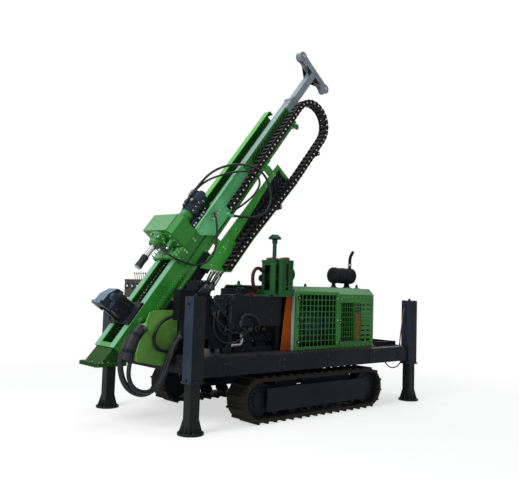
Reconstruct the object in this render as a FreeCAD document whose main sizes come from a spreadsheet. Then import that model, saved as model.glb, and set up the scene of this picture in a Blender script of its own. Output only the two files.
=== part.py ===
import FreeCAD, Part
import Sketcher
import math
import os
import re

# Core drilling rig on crawler tracks.
# +X runs to the engine end, +Y to the far side, +Z up. The origin is on the
# ground, in the middle of the rig's length and width. Lengths are millimetres.
# The mast has axes of its own: u up the mast, v out of its front face, and y
# as in the rig, from the lower end of the mast's front face.

os.makedirs("parts", exist_ok=True)
doc = FreeCAD.newDocument("CoreDrillingRig")
sheet = doc.addObject("Spreadsheet::Sheet", "Sizes")

# Driving dimensions: alias, value, meaning
DIMENSIONS = [
    ("seat_gap", 0.3, "gap between pieces that seat on each other"),
    ("pin_clearance", 0.05, "radial clearance of every running pin"),
    ("middle_x", 97.5, "middle of the rig's length, from the datum of the places below"),
    # Jacks
    ("jack_front_x", -1640, "front jacks, place along the rig"),
    ("jack_rear_x", 2505, "rear jacks, place along the rig"),
    ("jack_y", 960, "jacks, distance from the middle plane"),
    ("jack_tube", 170, "jack's outer tube, outside width"),
    ("jack_wall", 12, "jack's outer tube, wall"),
    ("jack_bottom", 560, "lower end of the jack's outer tube"),
    ("jack_top", 1540, "upper end of the jack's outer tube"),
    ("jack_collar", 26, "height of the collar at the tube's mouth"),
    ("collar_step", 10, "how far the collar stands out of the tube"),
    ("leg_side", 130, "jack's leg, width"),
    ("leg_top", 1080, "upper end of the leg inside its tube"),
    ("foot_radius", 150, "jack's foot disc, radius"),
    ("foot_disc", 26, "jack's foot disc, thickness"),
    ("foot_flare", 140, "height of the flare above the disc"),
    ("flare_side", 190, "width of the flare on the disc"),
    # Deck frame
    ("beam_top", 830, "top of the deck frame"),
    ("beam_height", 210, "height of the deck frame's beams"),
    ("beam_width", 100, "width of the deck frame's beams"),
    ("cross_members", 4, "cross members from the front to the engine"),
    ("deck_plate", 8, "deck plate, thickness"),
    ("deck_front_x", -1555, "front edge of the deck plate"),
    ("deck_rear_x", 2300, "rear edge of the deck plate"),
    # Undercarriage and tracks
    ("body_length", 1200, "undercarriage body, length"),
    ("body_width", 860, "undercarriage body, width"),
    ("body_bottom", 330, "undercarriage body, lower face"),
    ("arm_length", 140, "undercarriage arm, length along the rig"),
    ("arm_height", 130, "undercarriage arm, height"),
    ("arm_place", 490, "undercarriage arms, distance from the middle of the tracks"),
    ("track_x", 395, "middle of the tracks along the rig"),
    ("track_length", 2670, "track, overall length"),
    ("track_height", 575, "track, overall height"),
    ("track_width", 350, "track shoe, width"),
    ("track_outer_y", 1040, "outer side of the track"),
    ("grouser", 24, "height of a shoe's grouser"),
    ("belt", 40, "shoe and link, thickness under the grouser"),
    ("shoe_count", 40, "shoes in one track"),
    ("frame_width", 160, "track frame, width"),
    ("frame_height", 220, "track frame, height"),
    ("panel_gap", 80, "track frame's side panel, gap to the shoes above and below"),
    ("panel_inset", 97, "track frame's side panel, end before the wheel's middle"),
    ("panel_plate", 12, "track frame's side panel, thickness"),
    # Mast support and cradle
    ("mast_foot_x", -2251, "lower end of the mast's front face, along"),
    ("mast_foot_z", 920, "lower end of the mast's front face, height"),
    ("mast_angle", 52.4, "mast's slope from the level, degrees"),
    ("pivot_u", 550, "tilt pin, along the mast from its foot"),
    ("pivot_v", -450, "tilt pin, behind the mast's front face"),
    ("pin_radius", 30, "tilt pin, radius"),
    ("ear_y", 290, "mast support, inner face of each ear"),
    ("ear_plate", 25, "mast support, thickness of each ear"),
    ("ear_top", 1356, "mast support, top of each ear"),
    ("ear_low", 752, "mast support, lowest front corner of each ear"),
    ("cradle_low", 380, "cradle, lower end"),
    ("cradle_high", 1750, "cradle, upper end"),
    ("cradle_depth", 470, "cradle, rear edge behind the mast's front face"),
    ("cradle_plate", 24, "cradle's slide plate, thickness"),
    ("cradle_rail", 80, "cradle's rail, width"),
    ("cradle_side", 220, "cradle's rail, outer side from the middle"),
    ("hub_radius", 62, "cradle's hub on the tilt pin, radius"),
    ("jaw_length", 200, "cradle's jaw, length"),
    ("jaw_plate", 18, "cradle's jaw, thickness"),
    ("cylinder_y", 180, "tilt cylinders, distance from the middle plane"),
    ("cylinder_base_x", -300, "tilt cylinder's base pin, along"),
    ("cylinder_base_z", 930, "tilt cylinder's base pin, height"),
    ("rod_eye_u", 1150, "tilt rod's eye, along the mast"),
    ("rod_eye_v", -545, "tilt rod's eye, behind the mast's front face"),
    ("barrel_radius", 46, "tilt cylinder's barrel, radius"),
    ("rod_radius", 27, "tilt cylinder's rod, radius"),
    ("base_pin", 20, "tilt cylinder's base pin, radius"),
    # Mast
    ("mast_length", 4310, "mast beam, length"),
    ("mast_width", 460, "mast beam, width"),
    ("mast_depth", 300, "mast beam, depth"),
    ("mast_wall", 12, "mast beam, wall"),
    ("mast_flange", 112, "mast beam's front flange, width"),
    ("slide_rail", 18, "mast's slide rail, how far it stands out"),
    ("rail_height", 28, "mast's slide rail, height"),
    ("rack_low", 640, "mast's side rack, lower end"),
    ("rack_teeth", 20, "mast's side rack, teeth"),
    ("rack_pitch", 42, "mast's side rack, pitch"),
    ("foot_front_x", -2460, "mast foot's toothed edge, along"),
    ("foot_rear_x", -2060, "mast foot's rear edge, along"),
    ("foot_top", 745, "mast foot's plate, top"),
    ("foot_plate", 45, "mast foot's plate, thickness"),
    ("foot_half", 220, "mast foot's plate, half width"),
    ("foot_teeth", 6, "teeth of the mast foot"),
    ("tooth_depth", 40, "depth of the mast foot's teeth"),
    ("drill_v", 256, "drilling axis in front of the mast"),
    # Crown
    ("sleeve_low", 2400, "crown sleeve, lower end"),
    ("sleeve_high", 4700, "crown sleeve, upper end"),
    ("sleeve_width", 160, "crown sleeve, width"),
    ("sleeve_depth", 150, "crown sleeve, depth"),
    ("sleeve_v", -240, "crown sleeve, rear face"),
    ("crown_wall", 21.7, "crown sleeve, wall"),
    ("crown_low", 3000, "crown tube, lower end"),
    ("crown_end", 65, "crown tube, end below the sheaves' axle"),
    ("sheave_u", 5395, "crown sheaves, along the mast"),
    ("arm_half", 325, "crown arm, from its middle to each sheave"),
    ("arm_lobe", 75, "crown arm, radius of its round ends"),
    ("arm_plate", 20, "crown arm, thickness of each plate"),
    ("arm_space", 60, "crown arm, space between its plates"),
    ("sheave_radius", 68, "crown sheave, radius"),
    ("sheave_pin", 16, "crown sheave's pin, radius"),
    # Rotation head
    ("carriage_low", 1330, "carriage, lower end"),
    ("carriage_length", 560, "carriage, length"),
    ("carriage_half", 262, "carriage, half width"),
    ("gear_low", 1520, "gearbox, lower end"),
    ("gear_high", 1795, "gearbox, upper end"),
    ("gear_half", 285, "gearbox, half width"),
    ("gear_v", 343, "gearbox, front face"),
    ("hub_flange", 96, "head's hub flange, radius"),
    ("hub_sleeve", 56, "head's hub sleeve, radius"),
    ("spindle_radius", 36, "spindle, radius"),
    ("adapter_radius", 42, "spindle's adapter, radius"),
    ("adapter_low", 1000, "spindle's adapter, lower end"),
    ("adapter_length", 180, "spindle's adapter, length"),
    ("motor_y", -135, "head's motor, place across"),
    ("motor_v", 205, "head's motor, place out of the mast's front"),
    ("motor_radius", 95, "head's motor, radius of its body"),
    ("bracket_high", 3000, "chain bracket, upper end"),
    ("bracket_plate", 14, "chain bracket, thickness"),
    # Rod clamp
    ("clamp_bore", 80, "rod clamp's bore, radius"),
    ("clamp_low", 329, "rod clamp's block, lower end"),
    ("clamp_high", 608, "rod clamp's block, upper end"),
    ("clamp_half", 108, "rod clamp's block, half width"),
    ("drum_radius", 112, "rod clamp's drum, radius"),
    ("drum_u", 478, "rod clamp's drum, along the mast"),
    # Drag chain
    ("chain_pitch", 82, "drag chain, length of a link"),
    ("chain_half", 45, "drag chain, half the height of a link"),
    ("chain_y", -345, "drag chain, middle across"),
    ("chain_width", 120, "drag chain, width"),
    ("chain_bend_u", 4392, "drag chain, middle of its bend along the mast"),
    ("chain_upper_v", -123, "drag chain's upper run, from the mast's front face"),
    ("chain_radius", 317, "drag chain's bend, radius"),
    ("tray_plate", 8, "chain tray, thickness"),
    # Engine end
    ("canopy_front_x", 130, "front of the engine canopy"),
    ("canopy_rear_x", 1810, "rear of the engine canopy"),
    ("canopy_y", 797, "side of the engine canopy"),
    ("canopy_top", 1700, "top of the engine canopy"),
    ("canopy_chamfer", 90, "slope at the canopy's upper edges"),
    ("canopy_sheet", 12, "canopy panel, thickness"),
    ("door_length", 850, "canopy's mesh door, length"),
    ("door_height", 790, "canopy's mesh door, height"),
    ("door_frame", 40, "canopy's mesh door, width of its frame"),
    ("door_sheet", 28, "canopy's mesh door, thickness"),
    ("hinge_radius", 14, "door hinge, radius"),
    ("hinge_length", 80, "door hinge, length of the door's knuckle"),
    ("muffler_x", 1245, "muffler, front end"),
    ("muffler_length", 460, "muffler, length"),
    ("muffler_radius", 117, "muffler, radius"),
    ("muffler_z", 1890, "muffler, height of its middle"),
    ("muffler_y", -440, "muffler, place across"),
    # Tank, winch and valves
    ("tank_front_x", -938, "oil tank, front"),
    ("tank_rear_x", -32, "oil tank, rear"),
    ("tank_low", 1170, "oil tank, bottom"),
    ("tank_top", 1555, "oil tank, top"),
    ("tank_side_y", -700, "oil tank, near side"),
    ("tank_width", 400, "oil tank, width"),
    ("cage_x", -40, "winch cage, middle along"),
    ("cage_y", -602, "winch cage, middle across"),
    ("cage_length", 210, "winch cage, along the rig"),
    ("cage_width", 390, "winch cage, across the rig"),
    ("cage_height", 470, "winch cage, height"),
    ("cage_wall", 12, "winch cage, wall"),
    ("cage_base", 20, "winch cage's base plate, thickness"),
    ("drum_z", 1800, "winch drum's axle, height"),
    ("axle_radius", 22, "winch drum's axle, radius"),
    ("winch_flange", 84, "winch drum's flange, radius"),
    ("post_top", 2312, "mushroom post, underside of its cap"),
    ("hose_radius", 16, "hydraulic hose, radius"),
    ("bundle_radius", 36, "wrapped bundle of hoses, radius"),
]
for row, (alias, value, meaning) in enumerate(DIMENSIONS, start=1):
    sheet.set(f"A{row}", alias)
    sheet.set(f"B{row}", str(value))
    sheet.setAlias(f"B{row}", alias)
    sheet.set(f"C{row}", meaning)
doc.recompute()

ALIAS_WORD = re.compile(r"\b(" + "|".join(alias for alias, _, _ in DIMENSIONS) + r")\b")
SIDES = (("near", -1), ("far", 1))
JACKS = [(end, side, sign) for end in ("front", "rear") for side, sign in SIDES]


def bound(text):
    """Turns words of the sheet in a formula into references to its cells."""
    return ALIAS_WORD.sub(r"Sizes.\1", str(text))


def size(alias):
    """The value of one cell of the sheet."""
    return float(sheet.get(alias))


def set_sizes(item, **formulas):
    """Binds properties of an object to formulas in the sheet's words."""
    for name, formula in formulas.items():
        item.setExpression(name.replace("_", "."), bound(formula))


def box(name, x, y, z, length, width, height):
    """A box from its low corner and its three sizes, each a formula."""
    item = doc.addObject("Part::Box", name)
    set_sizes(item, Length=length, Width=width, Height=height)
    set_sizes(item, Placement_Base_x=x, Placement_Base_y=y, Placement_Base_z=z)
    return item


def rod(name, x, y, z, radius, length, axis="Z"):
    """A cylinder from the middle of its start face, along X, Y or Z."""
    item = doc.addObject("Part::Cylinder", name)
    turns = {"Z": (FreeCAD.Vector(0, 0, 1), 0), "X": (FreeCAD.Vector(0, 1, 0), 90),
             "Y": (FreeCAD.Vector(1, 0, 0), -90)}
    item.Placement = FreeCAD.Placement(FreeCAD.Vector(), FreeCAD.Rotation(*turns[axis]))
    set_sizes(item, Radius=radius, Height=length)
    set_sizes(item, Placement_Base_x=x, Placement_Base_y=y, Placement_Base_z=z)
    return item


def sketched(name, points):
    """A body with a closed outline on its XY plane, and that outline."""
    body = doc.addObject("PartDesign::Body", name)
    sketch = body.newObject("Sketcher::SketchObject", name + "_outline")
    plane = next(item for item in body.Origin.OriginFeatures if item.Role == "XY_Plane")
    sketch.AttachmentSupport = (plane, [""])
    sketch.MapMode = "FlatFace"
    count = len(points)
    for index, point in enumerate(points):
        after = points[(index + 1) % count]
        sketch.addGeometry(Part.LineSegment(FreeCAD.Vector(*point, 0), FreeCAD.Vector(*after, 0)), False)
    for index in range(count):
        sketch.addConstraint(Sketcher.Constraint("Coincident", index, 2, (index + 1) % count, 1))
    return body, sketch


def side_plate(name, points, y, thickness):
    """An outline seen from the side, from y towards the near side."""
    body, sketch = sketched(name, points)
    pad = body.newObject("PartDesign::Pad", name + "_pad")
    pad.Profile = sketch
    set_sizes(pad, Length=thickness)
    turn = FreeCAD.Rotation(FreeCAD.Vector(1, 0, 0), 90)
    body.Placement = FreeCAD.Placement(FreeCAD.Vector(0, y, 0), turn)
    return body


def end_section(name, points, x, length):
    """An outline across the rig, pushed along X."""
    body, sketch = sketched(name, points)
    pad = body.newObject("PartDesign::Pad", name + "_pad")
    pad.Profile = sketch
    set_sizes(pad, Length=length)
    turn = FreeCAD.Rotation(FreeCAD.Vector(1, 1, 1), 120)
    body.Placement = FreeCAD.Placement(FreeCAD.Vector(x, 0, 0), turn)
    return body


def turned(name, profile, start, turn=None):
    """A profile of (distance, radius) turned about its own X axis."""
    body, sketch = sketched(name, profile)
    spin = body.newObject("PartDesign::Revolution", name + "_turn")
    spin.Profile = sketch
    spin.ReferenceAxis = (sketch, ["H_Axis"])
    spin.Angle = 360
    body.Placement = FreeCAD.Placement(start, turn or FreeCAD.Rotation())
    return body


def fuse(name, *items):
    """One solid from several."""
    item = doc.addObject("Part::MultiFuse", name)
    item.Shapes = list(items)
    item.Refine = True
    return item


def cut(name, base, *tools):
    """A solid with tools taken out of it."""
    item = doc.addObject("Part::Cut", name)
    item.Base = base
    item.Tool = tools[0] if len(tools) == 1 else fuse(name + "_tools", *tools)
    item.Refine = True
    return item


def group(name, *items):
    """Several solids that belong to one node and don't touch."""
    item = doc.addObject("Part::Compound", name)
    item.Links = list(items)
    return item


def shaped(name, shape):
    """A feature from a shape that no parametric object gives."""
    item = doc.addObject("Part::Feature", name)
    item.Shape = shape
    return item


def prism(points, along):
    """A solid from a closed outline of vectors, pushed along a vector."""
    return Part.Face(Part.makePolygon(points + points[:1])).extrude(along)


def tube(name, route, radius):
    """A round tube on straight runs joined by tangent arcs; prints its radii."""
    edges = []
    here = route[0]
    radii = []
    for before, corner, after in zip(route, route[1:], route[2:]):
        into, out = corner - before, after - corner
        turn = into.getAngle(out)
        reach = 0.45 * min(into.Length, out.Length)
        radii.append(reach / math.tan(turn / 2))
        start = corner - into * (reach / into.Length)
        end = corner + out * (reach / out.Length)
        middle = (out * (1 / out.Length) - into * (1 / into.Length)).normalize()
        rise = radii[-1] * (1 / math.cos(turn / 2) - 1)
        edges.append(Part.LineSegment(here, start).toShape())
        edges.append(Part.Arc(start, corner + middle * rise, end).toShape())
        here = end
    edges.append(Part.LineSegment(here, route[-1]).toShape())
    path = Part.Wire(edges)
    ring = Part.Wire(Part.makeCircle(radius, route[0], route[1] - route[0]))
    solid = path.makePipeShell([ring], True, False)
    share = solid.Volume / (math.pi * radius ** 2 * path.Length)
    print(f"{name}: length {path.Length:.0f}, radii {[round(r) for r in radii]}, volume share {share:.4f}")
    return shaped(name, solid)


NODES = []


RIG = FreeCAD.Placement(FreeCAD.Vector(-size("middle_x"), 0, 0), FreeCAD.Rotation())


def node(name, item, placement=None):
    """Marks an object as one sub-part of the rig, in the rig's own axes."""
    if any(path.startswith("Placement") for path, _ in item.ExpressionEngine):
        item = group(name + "_set", item)
    item.Placement = RIG.multiply((placement or FreeCAD.Placement()).multiply(item.Placement))
    item.Label = name
    NODES.append(item)
    return item


def mast_frame():
    """Placement of the mast's own axes in the rig."""
    turn = FreeCAD.Rotation(FreeCAD.Vector(0, 1, 0), -size("mast_angle"))
    return FreeCAD.Placement(FreeCAD.Vector(size("mast_foot_x"), 0, size("mast_foot_z")), turn)


MAST = mast_frame()


def mast_point(u, y, v):
    """A point of the mast's own axes in the rig's."""
    return MAST.multVec(FreeCAD.Vector(u, y, v))


def deck():
    """Height at which things seat on the deck plate."""
    return size("beam_top") + size("deck_plate") + size("seat_gap")


# Deck frame

def build_deck_frame():
    """Side beams, cross members and the deck plate."""
    low = "beam_top - beam_height"
    first = "jack_front_x + jack_tube/2 + seat_gap"
    beams = []
    for side, sign in SIDES:
        beams.append(box(f"beam_{side}", first, f"{sign}*jack_y - beam_width/2", low,
                         "jack_rear_x - jack_front_x - jack_tube - 2*seat_gap", "beam_width", "beam_height"))
    node("side_beams", group("beam_pair", *beams))
    between = "jack_y - beam_width/2 - seat_gap"
    members = []
    for index in range(int(size("cross_members"))):
        place = f"{first} + {index}*(jack_rear_x - jack_front_x)/(cross_members + 1)"
        members.append(box(f"member_{index}", place, f"-({between})", low,
                           "beam_width", f"2*({between})", "beam_height"))
    inner = "jack_y - jack_tube/2 - seat_gap"
    members.append(box("member_rear", "jack_rear_x - beam_width/2", f"-({inner})", low,
                       "beam_width", f"2*({inner})", "beam_height"))
    node("cross_beams", group("member_set", *members))
    node("deck_sheet", box("deck_plate_solid", "deck_front_x", "-jack_y", "beam_top",
                           "deck_rear_x - deck_front_x", "2*jack_y", "deck_plate"))


def build_undercarriage():
    """Body between the tracks and an arm to each end of both track frames."""
    body = box("carrier_box", "track_x - body_length/2", "-body_width/2", "body_bottom",
               "body_length", "body_width", "beam_top - beam_height - body_bottom - seat_gap")
    reach = "track_outer_y - track_width/2 - frame_width/2 - body_width/2 - 2*seat_gap"
    arms = []
    for end, way in (("front", -1), ("rear", 1)):
        for side, sign in SIDES:
            y = "body_width/2 + seat_gap" if sign > 0 else f"-body_width/2 - seat_gap - ({reach})"
            arms.append(box(f"arm_{end}_{side}", f"track_x + {way}*arm_place - arm_length/2", y,
                            "track_height/2 + frame_height/2 - arm_height", "arm_length", reach, "arm_height"))
    node("undercarriage", group("undercarriage_set", body, *arms))


def build_jack_tubes():
    """Four square outer tubes with a collar at the mouth and a closed top."""
    tubes = []
    for end, side, sign in JACKS:
        key = f"{end}_{side}"
        x, y = f"jack_{end}_x", f"{sign}*jack_y"
        outer = box(f"tube_outer_{key}", f"{x} - jack_tube/2", f"{y} - jack_tube/2", "jack_bottom",
                    "jack_tube", "jack_tube", "jack_top - jack_bottom")
        collar = box(f"tube_collar_{key}", f"{x} - jack_tube/2 - collar_step",
                     f"{y} - jack_tube/2 - collar_step", "jack_bottom",
                     "jack_tube + 2*collar_step", "jack_tube + 2*collar_step", "jack_collar")
        bore = box(f"tube_bore_{key}", f"{x} - jack_tube/2 + jack_wall", f"{y} - jack_tube/2 + jack_wall",
                   "jack_bottom + jack_collar", "jack_tube - 2*jack_wall", "jack_tube - 2*jack_wall",
                   "jack_top - jack_bottom - jack_collar - jack_wall")
        mouth = box(f"tube_mouth_{key}", f"{x} - leg_side/2 - seat_gap", f"{y} - leg_side/2 - seat_gap",
                    "jack_bottom - seat_gap", "leg_side + 2*seat_gap", "leg_side + 2*seat_gap",
                    "jack_collar + 2*seat_gap")
        tubes.append(cut(f"tube_{key}", fuse(f"tube_body_{key}", outer, collar), bore, mouth))
    node("jack_tubes", group("jack_tube_set", *tubes))


def build_jack_legs():
    """A sliding leg on each jack, flared out to its round foot."""
    low, high = size("foot_disc"), size("foot_disc") + size("foot_flare")
    for end, side, sign in JACKS:
        key = f"{end}_{side}"
        x, y = f"jack_{end}_x", f"{sign}*jack_y"
        leg = box(f"leg_bar_{key}", f"{x} - leg_side/2", f"{y} - leg_side/2", "foot_disc",
                  "leg_side", "leg_side", "leg_top - foot_disc")
        disc = rod(f"leg_disc_{key}", x, y, 0, "foot_radius", "foot_disc")
        middle = FreeCAD.Vector(size(x), sign * size("jack_y"), 0)
        rings = []
        for half, height in ((size("flare_side") / 2, low), (size("leg_side") / 2 + 1, high)):
            corners = [middle + FreeCAD.Vector(a * half, b * half, height)
                       for a, b in ((-1, -1), (1, -1), (1, 1), (-1, 1), (-1, -1))]
            rings.append(Part.makePolygon(corners))
        flare = shaped(f"leg_flare_{key}", Part.makeLoft(rings, True, True))
        node(f"jack_leg_{key}", fuse(f"leg_solid_{key}", leg, disc, flare))


# Tracks

def stadium_point(distance, radius, half, offset):
    """Point and outward direction at a distance along a track's loop."""
    arc = math.pi * radius
    straight = 2 * half
    distance %= 2 * (arc + straight)
    reach = radius + offset
    if distance < straight:
        return (half - distance, -reach)
    distance -= straight
    if distance < arc:
        angle = -math.pi / 2 - distance / radius
        return (-half + reach * math.cos(angle), reach * math.sin(angle))
    distance -= arc
    if distance < straight:
        return (-half + distance, reach)
    distance -= straight
    angle = math.pi / 2 - distance / radius
    return (half + reach * math.cos(angle), reach * math.sin(angle))


# One track shoe, as shares of its pitch and heights over the shoe's plate in grousers
SHOE_PROFILE = ((0.0, -0.4), (0.05, 0.0), (0.40, 0.0), (0.46, 1.0), (0.58, 1.0), (0.64, 0.0), (0.95, 0.0))


def track_loop():
    """One track: a closed belt of shoes, each with its grouser."""
    outer = size("track_height") / 2
    plate = outer - size("grouser")
    inner = plate - size("belt")
    half = size("track_length") / 2 - outer
    count = int(size("shoe_count"))
    pitch = 2 * (math.pi * plate + 2 * half) / count
    width = FreeCAD.Vector(0, size("track_width"), 0)
    outline = []
    for shoe in range(count):
        for share, height in SHOE_PROFILE:
            x, z = stadium_point((shoe + share) * pitch, plate, half, height * size("grouser"))
            outline.append(FreeCAD.Vector(x, 0, z))
    along = FreeCAD.Vector(0, 1, 0)
    core = Part.makeBox(2 * half, width.y, 2 * inner, FreeCAD.Vector(-half, 0, -inner))
    ends = [Part.makeCylinder(inner, width.y, FreeCAD.Vector(x, 0, 0), along) for x in (-half, half)]
    return prism(outline, width).cut(core.fuse(ends).removeSplitter())


def build_tracks():
    """Both loops and, inside them, the frames with their wheels and side panels."""
    loop = track_loop()
    outer = size("track_height") / 2
    loops, frames = [], []
    axle = "track_height/2"
    half = "(track_length - track_height)/2"
    wheel = "track_height/2 - grouser - belt - seat_gap"
    for side, sign in SIDES:
        start = "-track_outer_y" if sign < 0 else "track_outer_y - track_width"
        middle = f"{start} + track_width/2"
        shape = shaped(f"loop_{side}", loop)
        shape.Placement.Base = FreeCAD.Vector(size("track_x"), 0, outer)
        set_sizes(shape, Placement_Base_y=start)
        loops.append(shape)
        beam = box(f"frame_beam_{side}", f"track_x - {half}", f"{middle} - frame_width/2",
                   f"{axle} - frame_height/2", f"2*{half}", "frame_width", "frame_height")
        face = start if sign < 0 else f"{start} + track_width - panel_plate"
        panel = box(f"frame_panel_{side}", f"track_x - {half} + panel_inset", face,
                    "grouser + belt + panel_gap", f"2*({half} - panel_inset)", "panel_plate",
                    "track_height - 2*(grouser + belt + panel_gap)")
        edge = f"{face} + panel_plate/2" if sign < 0 else middle
        web = box(f"frame_web_{side}", f"track_x - {half} + 2*panel_inset", edge, f"{axle} - frame_height/3",
                  f"2*({half} - 2*panel_inset)", "track_width/2 - panel_plate/2", "2*frame_height/3")
        wheels = [rod(f"wheel_{side}_{way + 1}", f"track_x + {way}*{half}", f"{middle} - frame_width/2",
                      axle, wheel, "frame_width", "Y") for way in (-1, 1)]
        frames.append(fuse(f"frame_{side}", beam, panel, web, *wheels))
    node("tracks", group("track_pair", *loops))
    node("track_frames", group("frame_pair", *frames))


# Mast support and cradle

HOSE_Y = -420
# Routes in the rig's X and Z at HOSE_Y, and in the mast's axes for the head's loop
BUNDLE_ROUTE = ((-1985, 1160), (-2120, 1110), (-2215, 985), (-2260, 810), (-2225, 640), (-2125, 500),
                (-1985, 425), (-1830, 455), (-1725, 580), (-1655, 740), (-1580, 900), (-1478, 1035))
LOOP_ROUTE = ((-1475, 1296), (-1600, 1270), (-1715, 1190), (-1780, 1060), (-1765, 930), (-1680, 880),
              (-1565, 860), (-1475, 866))
LOOP_SHIFT = 70
HEAD_ROUTE = ((2240.3, -150, 326), (2480, -150, 326), (2720, -200, 275), (2900, -320, 160), (3020, -430, 0),
              (3070, -464, -200), (3010, -470, -400), (2860, -470, -550), (2670, -452, -585), (2530, -410, -500),
              (2440, -355, -400), (2345, -312, -270))


def route_points(route, y):
    """Points of a route that lies in one upright plane."""
    return [FreeCAD.Vector(x, y, z) for x, z in route]


def ferrule(name, end, before, radius, length):
    """The steel sleeve that a hose ends against."""
    along = (end - before).normalize()
    start = end + along * size("seat_gap")
    return shaped(name, Part.makeCylinder(radius + 6, length, start, along))


def build_mast_support():
    """Two upright ears at the deck's front, and the tilt pin through them."""
    pivot = mast_point(size("pivot_u"), 0, size("pivot_v"))
    back = size("jack_front_x") + size("jack_tube") / 2
    top, low, seat = size("ear_top"), size("ear_low"), deck()
    outline = [(back, low - 84), (back, seat), (back + 155, seat), (back + 155, top - 176), (back + 55, top),
               (back - 145, top), (back - 275, top - 26), (back - 345, top - 206), (back - 435, low + 98),
               (back - 430, low)]
    reach = size("ear_y") + size("ear_plate")
    ears = []
    for side, sign in SIDES:
        plate = side_plate(f"ear_plate_{side}", outline, reach if sign > 0 else -size("ear_y"), "ear_plate")
        hole = rod(f"ear_hole_{side}", pivot.x, -reach - 5 if sign < 0 else size("ear_y") - 5, pivot.z,
                   "pin_radius + pin_clearance", "ear_plate + 10", "Y")
        if sign < 0:
            clip = box("hose_clip", back - 405, HOSE_Y - 50, 1128, 60, f"{-HOSE_Y + 50} - ear_y - ear_plate/2", 64)
            bundle = route_points(BUNDLE_ROUTE, HOSE_Y)
            sleeve = ferrule("bundle_sleeve_low", bundle[0], bundle[1], size("bundle_radius"), 50)
            plate = fuse("ear_with_clip", plate, clip, sleeve)
        ears.append(cut(f"ear_{side}", plate, hole))
    pin = rod("tilt_pin", pivot.x, -reach - 15, pivot.z, "pin_radius", 2 * reach + 30, "Y")
    node("mast_support", group("mast_support_set", *ears, pin))


def build_cradle():
    """The cradle that the mast slides on, hung on the tilt pin."""
    face = "-mast_depth - seat_gap"
    length = "cradle_high - cradle_low"
    pieces = [box("cradle_slide", "cradle_low", "-cradle_side", f"{face} - cradle_plate",
                  length, "2*cradle_side", "cradle_plate"),
              rod("cradle_hub", "pivot_u", "seat_gap*30 - ear_y", "pivot_v", "hub_radius",
                  "2*(ear_y - seat_gap*30)", "Y")]
    for index, y in enumerate(("-cradle_side", "cradle_side - cradle_rail")):
        pieces.append(box(f"cradle_rail_{index}", "cradle_low", y, "-cradle_depth", length, "cradle_rail",
                          "cradle_depth - mast_depth - seat_gap - cradle_plate/2"))
    for index, u in enumerate(("rod_eye_u - 45", "cradle_high - 130")):
        pieces.append(box(f"cradle_tie_{index}", u, "-cradle_side + cradle_rail/2", "-cradle_depth + 30",
                          90, "2*cradle_side - cradle_rail", 90))
    side = "mast_width/2 + slide_rail + seat_gap"
    for index, u in enumerate(("cradle_low + 320", "cradle_high - 50 - jaw_length")):
        for name, sign in SIDES:
            key = f"{index}_{name}"
            edge = side if sign > 0 else f"-({side}) - jaw_plate"
            web = "cradle_side - 10" if sign > 0 else f"-({side}) - jaw_plate"
            lip = f"{side} - 12" if sign > 0 else f"-({side}) - jaw_plate"
            pieces.append(box(f"jaw_side_{key}", u, edge, "-cradle_depth", "jaw_length", "jaw_plate",
                              "cradle_depth - mast_depth + rail_height + seat_gap + 16"))
            pieces.append(box(f"jaw_web_{key}", u, web, f"{face} - cradle_plate", "jaw_length",
                              f"{side} + jaw_plate - cradle_side + 10", "cradle_plate"))
            pieces.append(box(f"jaw_lip_{key}", u, lip, "-mast_depth + rail_height + seat_gap",
                              "jaw_length", "jaw_plate + 12", 16))
    for name, sign in SIDES:
        pieces.append(box(f"rod_lug_{name}", "rod_eye_u - 45", f"{sign}*cylinder_y - 14", "rod_eye_v - 35",
                          90, 28, "-cradle_depth - rod_eye_v + 55"))
    bore = rod("cradle_bore", "pivot_u", "-ear_y", "pivot_v", "pin_radius + pin_clearance", "2*ear_y", "Y")
    node("tilt_frame", cut("cradle_cut", fuse("cradle_solid", *pieces), bore), MAST)


def build_tilt_cylinders():
    """Two cylinders from the deck to the cradle; the eye at the rod stays open."""
    base = FreeCAD.Vector(size("cylinder_base_x"), 0, size("cylinder_base_z"))
    line = mast_point(size("rod_eye_u"), 0, size("rod_eye_v")) - base
    reach = line.Length
    turn = FreeCAD.Rotation(FreeCAD.Vector(0, 0, 1), line)
    lugs = []
    for side, sign in SIDES:
        place = FreeCAD.Placement(base + FreeCAD.Vector(0, size("cylinder_y") * sign, 0), turn)
        case = fuse(f"barrel_case_{side}",
                    rod(f"barrel_tube_{side}", 0, 0, 60, "barrel_radius", reach - 240),
                    box(f"barrel_eye_{side}", -36, -30, "-base_pin - 16", 72, 60, "base_pin + 86"))
        node(f"tilt_barrel_{side}", cut(f"barrel_{side}", case,
                                        rod(f"barrel_bore_{side}", 0, 0, 90, "rod_radius + pin_clearance", reach),
                                        rod(f"barrel_pin_{side}", 0, -40, 0, "base_pin + pin_clearance", 80, "Y")),
             place)
        fork = cut(f"rod_fork_{side}", box(f"fork_block_{side}", -40, -40, reach - 75, 80, 80, 120),
                   box(f"fork_slot_{side}", -50, -20, reach - 50, 100, 40, 130))
        stem = rod(f"rod_stem_{side}", 0, 0, 190, "rod_radius", reach - 250)
        node(f"tilt_rod_{side}", fuse(f"rod_{side}", stem, fork), place)
        ears = [box(f"base_ear_{side}_{index}", "cylinder_base_x - 60", f"{sign}*cylinder_y + {shift}", deck(),
                    120, 22, f"cylinder_base_z - {deck()} + 55") for index, shift in enumerate((-70, 48))]
        pin = rod(f"base_pin_{side}", "cylinder_base_x", f"{sign}*cylinder_y - 70", "cylinder_base_z",
                  "base_pin", 140, "Y")
        lugs.append(fuse(f"base_lugs_{side}", *ears, pin))
    node("cylinder_lugs", group("cylinder_lug_set", *lugs))


# Mast

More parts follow.
